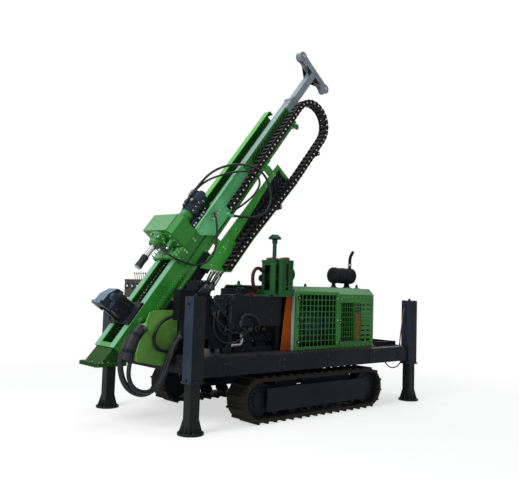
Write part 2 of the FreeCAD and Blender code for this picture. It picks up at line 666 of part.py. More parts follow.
def build_mast():
    """The open channel with front flanges, slide rails, ribs, end bar and side rack."""
    half = "mast_width/2"
    pieces = [box("mast_back", 0, f"-{half}", "-mast_depth", "mast_length", "mast_width", "mast_wall"),
              box("mast_end_bar", 0, f"-{half} + mast_flange - 5", "-2*mast_wall", 60,
                  "mast_width - 2*mast_flange + 10", "2*mast_wall")]
    for side, sign in SIDES:
        wall = f"-{half}" if sign < 0 else f"{half} - mast_wall"
        flange = f"-{half}" if sign < 0 else f"{half} - mast_flange"
        rail = f"-{half} - slide_rail" if sign < 0 else f"{half} - 1"
        pieces.append(box(f"mast_side_{side}", 0, wall, "-mast_depth", "mast_length", "mast_wall", "mast_depth"))
        pieces.append(box(f"mast_flange_{side}", 0, flange, "-mast_wall", "mast_length", "mast_flange", "mast_wall"))
        pieces.append(box(f"mast_rail_{side}", 60, rail, "-mast_depth", "mast_length - 900", "slide_rail + 1",
                          "rail_height"))
    for index in range(4):
        pieces.append(box(f"mast_rib_{index}", f"{index}*(mast_length - mast_wall)/3", f"-{half} + 1",
                          "-mast_depth + 1", "mast_wall", "mast_width - 2", "mast_depth + sleeve_v - 1.3"))
    low, pitch = size("rack_low"), size("rack_pitch")
    outline = [(low, -206)]
    for tooth in range(int(size("rack_teeth"))):
        u = low + tooth * pitch
        outline += [(u, -150), (u + 0.5 * pitch, -150), (u + 0.5 * pitch, -174), (u + pitch, -174)]
    outline.append((low + size("rack_teeth") * pitch, -206))
    outer = -size("mast_width") / 2 + 1
    pieces.append(side_plate("mast_rack", outline, outer, 15))
    node("mast_beam", fuse("mast_solid", *pieces), MAST)


def build_mast_foot():
    """The level plate with a toothed edge, and the tapered block that carries it."""
    front, rear, top = size("foot_front_x"), size("foot_rear_x"), size("foot_top")
    half, deep, teeth = size("foot_half"), size("tooth_depth"), int(size("foot_teeth"))
    step = 2 * half / teeth
    outline = [FreeCAD.Vector(rear, half, 0), FreeCAD.Vector(rear, -half, 0), FreeCAD.Vector(front + deep, -half, 0)]
    for index in range(teeth):
        outline.append(FreeCAD.Vector(front, -half + (index + 0.5) * step, 0))
        outline.append(FreeCAD.Vector(front + deep, -half + (index + 1) * step, 0))
    thick = size("foot_plate")
    plate = prism([point + FreeCAD.Vector(0, 0, top - thick) for point in outline], FreeCAD.Vector(0, 0, thick))
    end = [mast_point(0, 0, v) for v in (-20, -size("mast_depth"))]
    block = prism([FreeCAD.Vector(p.x, 20 - half, p.z) for p in
                   (FreeCAD.Vector(end[0].x - 150, 0, top - 10), end[0], end[1],
                    FreeCAD.Vector(rear - 25, 0, top - 10))], FreeCAD.Vector(0, 2 * half - 40, 0))
    above = Part.makeBox(1000, 4 * half, 1200, FreeCAD.Vector(-size("seat_gap"), -2 * half, -1000))
    above.Placement = MAST.multiply(above.Placement)
    string = Part.makeCylinder(size("clamp_bore") + 15, 1600, FreeCAD.Vector(-1400, 0, size("drill_v")),
                               FreeCAD.Vector(1, 0, 0))
    string.Placement = MAST.multiply(string.Placement)
    solid = plate.fuse(block).cut(above).cut(string)
    node("mast_foot", shaped("mast_foot_solid", solid.removeSplitter()))


def build_crown():
    """Sleeve, sliding tube and cross arm with a sheave at each end."""
    sleeve = box("sleeve_outer", "sleeve_low", "-sleeve_width/2", "sleeve_v", "sleeve_high - sleeve_low",
                 "sleeve_width", "sleeve_depth")
    bore = box("sleeve_bore", "sleeve_low - 1", "-sleeve_width/2 + crown_wall", "sleeve_v + crown_wall",
               "sleeve_high - sleeve_low + 2", "sleeve_width - 2*crown_wall", "sleeve_depth - 2*crown_wall")
    node("crown_sleeve", cut("crown_sleeve_solid", sleeve, bore), MAST)
    inset = "crown_wall + seat_gap"
    bar = box("crown_bar", "crown_low", f"-sleeve_width/2 + {inset}", f"sleeve_v + {inset}",
              "sheave_u - crown_end - crown_low", f"sleeve_width - 2*({inset})", f"sleeve_depth - 2*({inset})")
    middle = "sleeve_v + sleeve_depth/2"
    pieces = [bar, box("crown_block", "sheave_u - crown_end - 80", "-arm_space/2 - arm_plate", f"{middle} - 60",
                       150, "arm_space + 2*arm_plate", 120)]
    for index, y in enumerate(("-arm_space/2 - arm_plate", "arm_space/2")):
        pieces.append(box(f"arm_web_{index}", "sheave_u - 55", y, f"{middle} - arm_half", 110, "arm_plate",
                          "2*arm_half"))
        for name, sign in SIDES:
            pieces.append(rod(f"arm_lobe_{index}_{name}", "sheave_u", y, f"{middle} + {sign}*arm_half",
                              "arm_lobe", "arm_plate", "Y"))
    for name, sign in SIDES:
        pieces.append(rod(f"arm_pin_{name}", "sheave_u", "-arm_space/2 - arm_plate",
                          f"{middle} + {sign}*arm_half", "sheave_pin", "arm_space + 2*arm_plate", "Y"))
    node("crown_tube", fuse("crown_tube_solid", *pieces), MAST)
    for key, sign in (("rear", -1), ("front", 1)):
        wheel = rod(f"sheave_disc_{key}", "sheave_u", "-arm_space/2 + 4", f"{middle} + {sign}*arm_half",
                    "sheave_radius", "arm_space - 8", "Y")
        hole = rod(f"sheave_hole_{key}", "sheave_u", "-arm_space/2", f"{middle} + {sign}*arm_half",
                   "sheave_pin + pin_clearance", "arm_space", "Y")
        node(f"crown_sheave_{key}", cut(f"sheave_{key}", wheel, hole), MAST)


# Rotation head

def build_head():
    """Carriage and gearbox of the rotation head."""
    low, long, half = "carriage_low", "carriage_length", "carriage_half"
    skirt = "carriage_half - mast_width/2"
    pieces = [box("carriage_base", low, f"-{half}", 8, long, f"2*{half}", 30)]
    for side, sign in SIDES:
        edge = f"-{half}" if sign < 0 else f"{half} - 20"
        pieces.append(box(f"carriage_cheek_{side}", low, edge, -70, long, 20, 90))
        pad = f"-{half} + 10" if sign < 0 else "mast_width/2 + seat_gap"
        front = "-mast_width/2 + 5" if sign < 0 else "mast_width/2 - 95"
        for index, u in enumerate((f"{low} + 10", f"{low} + {long} - 110")):
            pieces.append(box(f"front_pad_{side}_{index}", u, front, "seat_gap", 100, 90, 9))
            pieces.append(box(f"side_pad_{side}_{index}", u, pad, -60, 100, f"{skirt} - seat_gap - 10", 50))
    wide, face = size("gear_half"), size("gear_v")
    case = end_section("gear_case", [(-wide, 34), (wide, 34), (wide, face + 37), (60 - wide, face + 12),
                                     (60 - wide, face), (-wide, face - 55)], size("gear_low"),
                       "gear_high - gear_low")
    pieces.append(case)
    pieces.append(rod("hub_flange_disc", "gear_low - 30", 0, "drill_v", "hub_flange", 40, "X"))
    pieces.append(rod("hub_sleeve_tube", "gear_low - 170", 0, "drill_v", "hub_sleeve", 150, "X"))
    bore = rod("head_bore", "gear_low - 180", 0, "drill_v", "spindle_radius + pin_clearance",
               "gear_high - gear_low + 200", "X")
    node("head_case", cut("head_solid", fuse("head_body", *pieces), bore), MAST)
    shaft, step = size("spindle_radius"), size("adapter_radius")
    start, reach = size("adapter_low"), size("adapter_length")
    top = size("gear_high") + 20 - start
    node("spindle", turned("spindle_solid", [(0, 0), (0, step), (reach, step), (reach, shaft), (top, shaft),
                                             (top, 0)], FreeCAD.Vector(start, 0, size("drill_v"))), MAST)
    reach = size("motor_radius")
    profile = [(0, 0), (0, reach + 10), (55, reach + 10), (75, reach - 12), (155, reach - 12), (155, reach),
               (485, reach), (485, reach - 35), (505, reach - 35), (505, 0)]
    motor = turned("motor_case", profile, FreeCAD.Vector(size("gear_high") + size("seat_gap"), size("motor_y"),
                                                         size("motor_v")))
    port = box("motor_port", 2160, "motor_y - 32", "motor_v + motor_radius - 20", 80, 64, 60)
    cap = rod("motor_cap", 2060, "motor_y", "motor_v + motor_radius - 20", 34, 55)
    node("head_motor", fuse("motor_solid", motor, port, cap), MAST)


def build_chain_bracket():
    """The plate on the carriage's near side that leads the drag chain and hoses."""
    low, high, skin = size("gear_high") + 11, size("bracket_high"), size("bracket_plate")
    outline = [(low, 60), (low, -60), (low + 150, -230), (high - 60, -230), (high, -190), (high, 40), (high - 30, 60)]
    y = -size("carriage_half") - size("seat_gap")
    plate = side_plate("bracket_web", outline, y, "bracket_plate")
    seat = box("bracket_hose_seat", 2290, y - skin - 52, -239, 40, 54, 52)
    edge = box("bracket_edge", low, y - skin - 16, 46, high - low - 30, 18, 14)
    route = [FreeCAD.Vector(*point) for point in HEAD_ROUTE]
    sleeve = ferrule("head_sleeve", route[-1], route[-2], size("hose_radius"), 60)
    node("chain_bracket", fuse("bracket_solid", plate, seat, edge, sleeve), MAST)


def build_clamp():
    """Rod clamp: base plate, drum and an angular block, on the drilling axis."""
    low, high, half = size("clamp_low"), size("clamp_high"), size("clamp_half")
    plate = box("clamp_plate", low - 10, -225, "seat_gap", high - low + 40, 450, 28)
    drum = rod("clamp_drum", "drum_u", 0, 10, "drum_radius", 275)
    rings = [rod(f"clamp_ring_{index}", "drum_u", 0, v, "drum_radius + 12", 16) for index, v in enumerate((70, 120))]
    outline = [(low, 250), (high, 250), (high, 275), (high - 14, 342), (high - 130, 398), (low + 40, 404),
               (low + 24, 432), (low - 8, 420), (low - 4, 370)]
    block = side_plate("clamp_head", outline, half, f"2*{half}")
    cheeks = [box(f"clamp_cheek_{side}", low + 20, f"{sign}*(clamp_half - 20) - 20", 15, high - low - 40, 40, 240)
              for side, sign in SIDES]
    bore = rod("clamp_hole", low - 60, 0, "drill_v", "clamp_bore", high - low + 120, "X")
    node("rod_clamp", cut("clamp_solid", fuse("clamp_body", plate, drum, *rings, block, *cheeks), bore), MAST)


# Drag chain

TRAY_LOW = 1719
CHAIN_LOWER_RUN = ((3600, -748), (2300, -635), (1700, -620))


def chain_line():
    """Middle line of the chain as (u, v, direction) at every half link."""
    bend, upper, radius = size("chain_bend_u"), size("chain_upper_v"), size("chain_radius")
    points = [(size("bracket_high"), upper), (bend, upper)]
    steps = 24
    for index in range(1, steps + 1):
        angle = math.pi / 2 - math.pi * index / steps
        points.append((bend + radius * math.cos(angle), upper - radius + radius * math.sin(angle)))
    points.extend(CHAIN_LOWER_RUN)
    return points


def offset_line(points, shift):
    """The line moved sideways by a distance, to the left of its direction."""
    moved = []
    for index, (u, v) in enumerate(points):
        before = points[max(index - 1, 0)]
        after = points[min(index + 1, len(points) - 1)]
        along = math.hypot(after[0] - before[0], after[1] - before[1])
        du, dv = (after[0] - before[0]) / along, (after[1] - before[1]) / along
        moved.append((u - dv * shift, v + du * shift))
    return moved


def along_line(points, distance):
    """Point and direction at a distance along a line of points."""
    for start, end in zip(points, points[1:]):
        run = math.hypot(end[0] - start[0], end[1] - start[1])
        if distance <= run or end == points[-1]:
            share = distance / run
            direction = ((end[0] - start[0]) / run, (end[1] - start[1]) / run)
            return (start[0] + share * (end[0] - start[0]), start[1] + share * (end[1] - start[1])), direction
        distance -= run


def build_chain():
    """Drag chain of links in two runs and a bend, and the tray that holds the lower run."""
    points = chain_line()
    total = sum(math.hypot(b[0] - a[0], b[1] - a[1]) for a, b in zip(points, points[1:]))
    pitch, tall = size("chain_pitch"), size("chain_half")
    count = int(total // pitch)
    left, right = [], []
    for link in range(count):
        for share, height in ((0.0, tall - 9), (0.1, tall), (0.9, tall)):
            (u, v), (du, dv) = along_line(points, (link + share) * pitch)
            left.append(FreeCAD.Vector(u - dv * height, 0, v + du * height))
            right.append(FreeCAD.Vector(u + dv * height, 0, v - du * height))
    width = size("chain_width")
    shift = FreeCAD.Vector(0, size("chain_y") - width / 2, 0)
    outline = [point + shift for point in left + right[::-1]]
    node("drag_chain", shaped("chain_solid", prism(outline, FreeCAD.Vector(0, width, 0))), MAST)
    near, far = size("chain_y") - width / 2, size("chain_y") + width / 2 + size("seat_gap")
    skin = size("tray_plate")
    lower = [point for point in points if point in CHAIN_LOWER_RUN]
    lower = [(3500, -748 + 100 * 113 / 1300)] + [p for p in lower if p[0] < 3500]
    inner = offset_line(lower, tall + size("seat_gap") + 1)
    outer = offset_line(lower, tall + size("seat_gap") + 1 + skin)
    strip = side_plate("tray_strip", inner + outer[::-1], far, f"{far - near}")
    web = side_plate("tray_web", [(1479, -327), (3500, -410)] + outer + [(1552, -443)], far + skin, "tray_plate")
    arms = [box(f"tray_arm_{index}", u, far, -470, 60, 90, "470 - mast_depth - seat_gap")
            for index, u in enumerate((1900, 3300))]
    node("chain_tray", fuse("tray_solid", web, strip, *arms), MAST)


# Engine end

def vertical_bars(frame, x, y, z, width, thickness, height, count, bar):
    """A frame shape with upright bars across its opening."""
    step = (width + bar) / (count + 1)
    shapes = [Part.makeBox(bar, thickness, height + 4, FreeCAD.Vector(x + (index + 1) * step - bar, y, z - 2))
              for index in range(count)]
    return frame.fuse(shapes).removeSplitter()


def ladder(x, y, z, width, thickness, height, count, bar):
    """Level bars joined by a strip at each end."""
    step = (height + bar) / (count + 1)
    shapes = [Part.makeBox(width, thickness, bar, FreeCAD.Vector(x, y, z + (index + 1) * step - bar))
              for index in range(count)]
    strips = [Part.makeBox(bar, thickness, height, FreeCAD.Vector(x + shift, y, z)) for shift in (0, width - bar)]
    return strips[0].fuse(strips[1:] + shapes).removeSplitter()


def build_canopy():
    """The hollow engine canopy: sheets, openings, louvres and hinge ears."""
    front, rear = size("canopy_front_x"), size("canopy_rear_x")
    side, top, low = size("canopy_y"), size("canopy_top"), deck()
    bevel, skin = size("canopy_chamfer"), size("canopy_sheet")
    outline = [(-side, low), (side, low), (side, top - bevel), (side - bevel, top), (bevel - side, top),
               (-side, top - bevel)]
    slope = skin * (math.sqrt(2) - 1)
    inset = [(skin - side, low - 5), (side - skin, low - 5), (side - skin, top - bevel - slope),
             (side - bevel - slope, top - skin), (bevel + slope - side, top - skin),
             (skin - side, top - bevel - slope)]
    outer = end_section("canopy_outer", outline, front, "canopy_rear_x - canopy_front_x")
    inner = end_section("canopy_inner", inset, front - 5, "canopy_rear_x - canopy_front_x + 5 - canopy_sheet")
    door = "door_length"
    tools = [inner]
    ears = []
    for name, sign in SIDES:
        y = "-canopy_y - 5" if sign < 0 else "canopy_y - canopy_sheet - 5"
        tools.append(box(f"door_hole_{name}", "canopy_front_x + 20", y, low + 20, f"{door} - 20",
                         "canopy_sheet + 10", "door_height - 60"))
        tools.append(box(f"mesh_hole_{name}", f"canopy_front_x + {door} + 90", y, low + 90, 300,
                         "canopy_sheet + 10", 560))
        for column in range(2):
            for row in range(8):
                tools.append(box(f"louvre_{name}_{column}_{row}", f"canopy_rear_x - {290 - 125 * column}", y,
                                 low + 90 + row * 72, 85, "canopy_sheet + 10", 34))
        for index, z in enumerate(HINGE_PLACES):
            for end, shift in enumerate((-18, size("hinge_length") + 1)):
                y_ear = "canopy_y - 1" if sign > 0 else "-canopy_y - door_sheet - 6"
                ears.append(box(f"hinge_ear_{name}_{index}_{end}", f"canopy_front_x + {door} + 2", y_ear,
                                low + z + shift, "2*hinge_radius", "door_sheet + 7", 17))
    node("canopy_shell", fuse("canopy_solid", cut("canopy_cut", outer, *tools), *ears))


HINGE_PLACES = (60, 340, 640)


def build_doors():
    """Hinged mesh doors and the fixed mesh behind each of them."""
    front, low = size("canopy_front_x"), deck()
    long, tall = size("door_length"), size("door_height")
    rim, thick = size("door_frame"), size("door_sheet")
    meshes = []
    for name, sign in SIDES:
        y = sign * size("canopy_y") + (6 if sign > 0 else -6 - thick)
        frame = Part.makeBox(long - 6, thick, tall, FreeCAD.Vector(front, y, low + 8))
        opening = (front + rim, long - 6 - 2 * rim, low + 8 + rim, tall - 2 * rim)
        frame = frame.cut(Part.makeBox(opening[1], thick + 2, opening[3],
                                       FreeCAD.Vector(opening[0], y - 1, opening[2])))
        frame = vertical_bars(frame, opening[0], y + 5, opening[2], opening[1], 8, opening[3], 9, 10)
        pin_x, pin_y = front + long + 2 + size("hinge_radius"), y + thick / 2
        knuckles = []
        for z in HINGE_PLACES:
            knuckles.append(Part.makeCylinder(size("hinge_radius"), size("hinge_length"),
                                              FreeCAD.Vector(pin_x, pin_y, low + z)))
            knuckles.append(Part.makeBox(size("hinge_radius") + 10, 8, size("hinge_length"),
                                         FreeCAD.Vector(front + long - 8, pin_y - 4, low + z)))
        frame = frame.fuse(knuckles).removeSplitter()
        net = ladder(opening[0] + 1, y + 13 + size("seat_gap"), opening[2] + 1, opening[1] - 2, 8,
                     opening[3] - 2, 8, 10)
        node(f"canopy_door_{name}", shaped(f"door_solid_{name}", Part.makeCompound([frame, net])))
        inner = size("canopy_y") - size("canopy_sheet") - size("seat_gap")
        y = -inner if sign < 0 else inner - 8
        x = front + long + 80
        rim_box = Part.makeBox(320, 8, 580, FreeCAD.Vector(x, y, low + 80))
        rim_box = rim_box.cut(Part.makeBox(300, 12, 560, FreeCAD.Vector(x + 10, y - 2, low + 90)))
        meshes.append(vertical_bars(rim_box, x + 10, y, low + 90, 300, 8, 560, 5, 8))
        y = y + 8 + size("seat_gap") if sign < 0 else y - 8 - size("seat_gap")
        meshes.append(ladder(x + 10, y, low + 90, 300, 8, 560, 7, 8))
    node("side_mesh", shaped("side_mesh_set", Part.makeCompound(meshes)))


def build_engine():
    """Engine as one block, radiator with its orange shroud, muffler and pipe."""
    front, low = size("canopy_front_x"), deck()
    feet = [box(f"engine_foot_{index}", f"canopy_front_x + {x}", y, low, 120, 80, 80)
            for index, (x, y) in enumerate(((460, -300), (460, 220), (1210, -300), (1210, 220)))]
    node("engine_block", fuse("engine_solid", box("engine_case", "canopy_front_x + 420", -300, low + 60, 950, 600, 640),
                              *feet))
    half, tall = size("canopy_y") - 62, size("door_height") + 10
    node("fan_shroud", end_section("shroud", [(-half, low), (half, low), (half - 45, low + tall),
                                              (45 - half, low + tall)], front - 60, 56))
    node("radiator", box("radiator_solid", "canopy_front_x + 40", -640, low, 120, 1280, 760))
    radius, long = size("muffler_radius"), size("muffler_length")
    drum = turned("muffler_drum", [(0, 0), (0, radius - 35), (30, radius), (long - 30, radius),
                                   (long, radius - 35), (long, 0)],
                  FreeCAD.Vector(size("muffler_x"), size("muffler_y"), size("muffler_z")))
    legs = [rod(f"muffler_leg_{index}", f"muffler_x + {x}", "muffler_y", "canopy_top + seat_gap", radius,
                "muffler_z - canopy_top - muffler_radius + 30")
            for index, (x, radius) in enumerate(((47, 30), (348, 42)))]
    pipe = tube("tail_pipe", [FreeCAD.Vector(x, size("muffler_y"), size("muffler_z") + z) for x, z in
                              ((1656, 95), (1660, 290), (1731, 382))], 24)
    node("muffler", fuse("muffler_solid", drum, *legs, pipe))


def build_tank():
    """Oil tank on its legs, with the pump set under it."""
    front, rear, low, top = size("tank_front_x"), size("tank_rear_x"), size("tank_low"), size("tank_top")
    case = side_plate("tank_case", [(front, low), (front, top - 115), (front + 100, top), (rear, top), (rear, low)],
                      size("tank_side_y") + size("tank_width"), "tank_width")
    legs = [box(f"tank_leg_{index}", x, y, deck(), 50, 50, f"tank_low - {deck()} + 5")
            for index, (x, y) in enumerate((("tank_front_x + 20", "tank_side_y + 10"),
                                            ("tank_front_x + 20", "tank_side_y + tank_width - 60"),
                                            ("tank_rear_x - 70", "tank_side_y + 10"),
                                            ("tank_rear_x - 70", "tank_side_y + tank_width - 60")))]
    node("oil_tank", fuse("tank_solid", case, *legs))
    low = deck()
    node("pump_set", fuse("pump_solid", box("pump_base", -780, -630, low, 700, 260, 60),
                          rod("pump_case", -740, -480, 1000, 105, 330, "X"),
                          rod("pump_motor", -415, -480, 1000, 84, 315, "X"),
                          box("pump_block", -700, -570, low + 50, 260, 180, 70),
                          box("motor_block", -330, -550, low + 50, 180, 140, 60),
                          box("pump_port", -640, -610, 1040, 120, 90, 90)))


def build_winch():
    """Slotted winch cage with its drum, and the mushroom post beside it."""
    x, y = "cage_x - cage_length/2", "cage_y - cage_width/2"
    seat = "tank_top + seat_gap"
    base = box("cage_plate", "cage_x - 200", f"{y}", seat, 300, "cage_width + 7", "cage_base")
    low = f"{seat} + cage_base"
    shell = box("cage_outer", x, y, f"{low} - 2", "cage_length", "cage_width", "cage_height + 2")
    tools = [box("cage_hollow", f"{x} + cage_wall", f"{y} + cage_wall", low,
                 "cage_length - 2*cage_wall", "cage_width - 2*cage_wall", "cage_height + 5"),
             box("cage_slot_side", f"{x} + 50", f"{y} - 5", f"{low} + 70", "cage_length - 100",
                 "cage_width + 10", "cage_height/2 - 100")]
    for index in range(2):
        tools.append(box(f"cage_slot_{index}", f"{x} - 5", f"{y} + 55 + {index}*(cage_width - 50)/2", f"{low} + 60",
                         "cage_length + 10", "cage_width/2 - 85", "cage_height - 130"))
    axle = rod("cage_axle", "cage_x", f"{y} + cage_wall/2", "drum_z", "axle_radius", "cage_width - cage_wall", "Y")
    node("winch_cage", fuse("cage_solid", base, cut("cage_cut", shell, *tools), axle))
    reach, flange = size("cage_width") - 2 * size("cage_wall") - 20, size("winch_flange")
    profile = [(0, 0), (0, flange), (18, flange), (18, flange - 30), (reach - 18, flange - 30),
               (reach - 18, flange), (reach, flange), (reach, 0)]
    start = FreeCAD.Vector(size("cage_x"), size("cage_y") - reach / 2, size("drum_z"))
    drum = turned("drum_body", profile, start, FreeCAD.Rotation(FreeCAD.Vector(0, 0, 1), 90))
    bore = rod("drum_bore", "cage_x", y, "drum_z", "axle_radius + pin_clearance", "cage_width", "Y")
    node("winch_drum", cut("drum_solid", drum, bore))
    foot, tall = size("tank_top") + size("seat_gap") + size("cage_base") + size("seat_gap"), size("post_top")
    upright = FreeCAD.Rotation(FreeCAD.Vector(0, 1, 0), -90)
    node("mushroom_post", turned("post", [(0, 0), (0, 27), (tall - foot, 27), (tall - foot, 83),
                                          (tall - foot + 24, 83), (tall - foot + 60, 44), (tall - foot + 60, 0)],
                                 FreeCAD.Vector(size("cage_x") - 172, size("cage_y") - 120, foot), upright))


def build_valves():
    """Valve boxes on their stand, the hose bulkhead and the console on the far side."""
    low = deck()
    stand = fuse("valve_stand", box("valve_post", -1290, -590, low, 60, 60, 1615 - low),
                 box("valve_shelf", -1290, -600, 1370, 330, 40, 40),
                 box("valve_bank", -1420, -660, 1612, 280, 200, 88),
                 box("valve_bank_low", -1190, -660, 1299, 240, 120, 217))
    bundle = route_points(BUNDLE_ROUTE, HOSE_Y)
    loop = route_points(LOOP_ROUTE, HOSE_Y + LOOP_SHIFT)
    thin = size("hose_radius")
    bulkhead = fuse("bulkhead_solid", box("hose_bulkhead", -1440, HOSE_Y - 55, low, 40, 150, 1330 - low),
                    ferrule("bundle_sleeve_high", bundle[-1], bundle[-2], size("bundle_radius"), 60),
                    ferrule("loop_sleeve_high", loop[0], loop[1], thin, 50),
                    ferrule("loop_sleeve_low", loop[-1], loop[-2], thin, 50))
    console = fuse("console_box", box("console_post", -1400, 560, low, 160, 160, 1490 - low),
                   box("console_case", -1530, 420, 1480, 320, 420, 240))
    node("valve_boxes", group("valve_set", stand, bulkhead, console))


def build_hoses():
    """The head's hose loop, and the two loops at the mast's foot."""
    node("head_hose", tube("hose_head", [FreeCAD.Vector(*point) for point in HEAD_ROUTE], size("hose_radius")),
         MAST)
    tubes = [tube("hose_bundle", route_points(BUNDLE_ROUTE, HOSE_Y), size("bundle_radius")),
             tube("hose_loop", route_points(LOOP_ROUTE, HOSE_Y + LOOP_SHIFT), size("hose_radius"))]
    node("deck_hoses", group("hose_pair", *tubes))


BUILDERS = (build_deck_frame, build_undercarriage, build_jack_tubes, build_jack_legs, build_tracks,
            build_mast_support, build_cradle, build_tilt_cylinders, build_mast, build_mast_foot, build_crown,
            build_head, build_chain_bracket, build_clamp, build_chain, build_canopy, build_doors, build_engine,
            build_tank, build_winch, build_valves, build_hoses)

for builder in BUILDERS:
    builder()
doc.recompute()

for item in doc.Objects:
    if "Invalid" in item.State or "Error" in item.State:
        raise RuntimeError(f"{item.Name} failed: {item.State}")
for item in NODES:
    if item.Shape.isNull() or not item.Shape.isValid() or item.Shape.Volume <= 0:
        raise RuntimeError(f"{item.Label} has no valid shape")
    item.Shape.exportStep(f"parts/{item.Label}.step")
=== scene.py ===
"""Looks of a crawler core drilling rig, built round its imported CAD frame.

Lengths are in metres. Numbers are given in the rig's datum axes (X towards the engine end, Y away from the
drag chain, Z up) or in the mast's axes (U up the mast, Y as above, V out of its front face).
"""
from __future__ import annotations

import logging
import math
from dataclasses import dataclass
from enum import Enum
from typing import Sequence

import bmesh
import bpy
from mathutils import Matrix, Vector

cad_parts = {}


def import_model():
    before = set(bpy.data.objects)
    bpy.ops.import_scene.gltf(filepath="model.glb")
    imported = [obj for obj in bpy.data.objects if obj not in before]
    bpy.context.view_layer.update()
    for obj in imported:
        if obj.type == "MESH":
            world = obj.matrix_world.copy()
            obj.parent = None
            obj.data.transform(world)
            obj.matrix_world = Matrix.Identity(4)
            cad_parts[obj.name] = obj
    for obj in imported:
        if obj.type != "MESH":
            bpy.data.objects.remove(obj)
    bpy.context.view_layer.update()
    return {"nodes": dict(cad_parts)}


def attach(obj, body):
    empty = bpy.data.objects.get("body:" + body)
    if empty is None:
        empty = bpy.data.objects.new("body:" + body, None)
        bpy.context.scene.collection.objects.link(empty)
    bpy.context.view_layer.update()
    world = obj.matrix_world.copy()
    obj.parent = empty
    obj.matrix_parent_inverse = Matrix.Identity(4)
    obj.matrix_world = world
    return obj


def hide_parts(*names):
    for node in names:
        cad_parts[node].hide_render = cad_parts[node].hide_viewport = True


Triple = tuple[float, float, float]
Colour = tuple[float, float, float]
log = logging.getLogger("rig")

RIG = Matrix.Translation((-0.0975, 0.0, 0.0))
MAST = RIG @ Matrix.Translation((-2.251, 0.0, 0.92)) @ Matrix.Rotation(math.radians(-52.4), 4, "Y")
SIDES = (-1, 1)
SIDE_NAMES = {-1: "near", 1: "far"}
DECK_TOP = 0.838
X_AXIS, Y_AXIS, Z_AXIS = (1, 0, 0), (0, 1, 0), (0, 0, 1)
MINUS_X, MINUS_Y = (-1, 0, 0), (0, -1, 0)
SMOOTH = math.radians(35.0)  # steepest angle between faces shaded as one surface
MERGE = 0.00005  # points closer than this are one
SHARP = 0.5  # angle between faces, in radians, from which an edge is rounded


class Plane(Enum):
    """Plane that an outline is drawn in, with the axes of its two numbers."""

    SIDE = "xz"
    TOP = "xy"
    END = "yz"


# Finishes

class Graph:
    """Node tree of one finish, with short calls that add and link its nodes."""

    def __init__(self, name: str) -> None:
        """Starts a material whose patterns read Object coordinates."""
        self.material = bpy.data.materials.new(name)
        self.material.use_nodes = True
        self.tree = self.material.node_tree
        self.shader = self.tree.nodes["Principled BSDF"]
        self.place = self.add("ShaderNodeTexCoord").outputs["Object"]
        self.surface = self.add("ShaderNodeNewGeometry")

    def add(self, kind: str, **settings: object) -> bpy.types.Node:
        """Adds a node and sets its properties."""
        node = self.tree.nodes.new(kind)
        for key, value in settings.items():
            setattr(node, key, value)
        return node

    def feed(self, socket: bpy.types.NodeSocket, value: object) -> None:
        """Links a socket, or sets it where the value is a plain number."""
        if isinstance(value, bpy.types.NodeSocket):
            self.tree.links.new(value, socket)
        else:
            socket.default_value = value

    def noise(self, scale: float, detail: float = 4.0, stretch: Triple = (1, 1, 1)) -> bpy.types.NodeSocket:
        """Cloudy pattern.

        Args:
            scale: features per metre.
            detail: octaves of finer pattern.
            stretch: scale along each axis.

        Returns:
            A socket from 0 to 1.
        """
        mapping = self.add("ShaderNodeMapping")
        mapping.inputs["Scale"].default_value = stretch
        self.feed(mapping.inputs["Vector"], self.place)
        node = self.add("ShaderNodeTexNoise")
        self.feed(node.inputs["Vector"], mapping.outputs["Vector"])
        node.inputs["Scale"].default_value = scale
        node.inputs["Detail"].default_value = detail
        return node.outputs["Fac"]

    def span(self, source: object, low: float, high: float, start: float = 0.0,
            end: float = 1.0) -> bpy.types.NodeSocket:
        """Maps low to high onto start to end, held at both ends."""
        node = self.add("ShaderNodeMapRange")
        self.feed(node.inputs["Value"], source)
        for key, value in (("From Min", low), ("From Max", high), ("To Min", start), ("To Max", end)):
            node.inputs[key].default_value = value
        return node.outputs["Result"]

    def math(self, operation: str, first: object, second: object = 0.0) -> bpy.types.NodeSocket:
        """One arithmetic step of two values."""
        node = self.add("ShaderNodeMath", operation=operation)
        self.feed(node.inputs[0], first)
        self.feed(node.inputs[1], second)
        return node.outputs[0]

    def blend(self, share: object, first: object, second: object) -> bpy.types.NodeSocket:
        """Mixes two colours by a share from 0 to 1."""
        node = self.add("ShaderNodeMix", data_type="RGBA")
        self.feed(node.inputs["Factor"], share)
        self.feed(node.inputs[6], first if isinstance(first, bpy.types.NodeSocket) else (*first, 1.0))
        self.feed(node.inputs[7], second if isinstance(second, bpy.types.NodeSocket) else (*second, 1.0))
        return node.outputs[2]

    def mast_place(self) -> bpy.types.NodeSocket:
        """Place in the mast's axes."""
        mapping = self.add("ShaderNodeMapping", vector_type="TEXTURE")
        mapping.inputs["Location"].default_value = MAST.translation
        mapping.inputs["Rotation"].default_value = MAST.to_euler()
        self.feed(mapping.inputs["Vector"], self.place)
        return mapping.outputs[0]

    def axis(self, vector: object, letter: str) -> bpy.types.NodeSocket:
        """One component of a vector."""
        node = self.add("ShaderNodeSeparateXYZ")
        self.feed(node.inputs[0], vector)
        return node.outputs[letter]


DUST_TONE = (0.17, 0.15, 0.125)
BLACK_TONE = (0.01, 0.012, 0.015)
# Bright green that paints the sky's reflection on the far front flange of the mast, higher up.
UPPER_FLANGE_SHEEN = (0.085, 0.33, 0.06)
BUMP_HEIGHT = 0.004  # metres
COAT_ROUGHNESS = 0.12


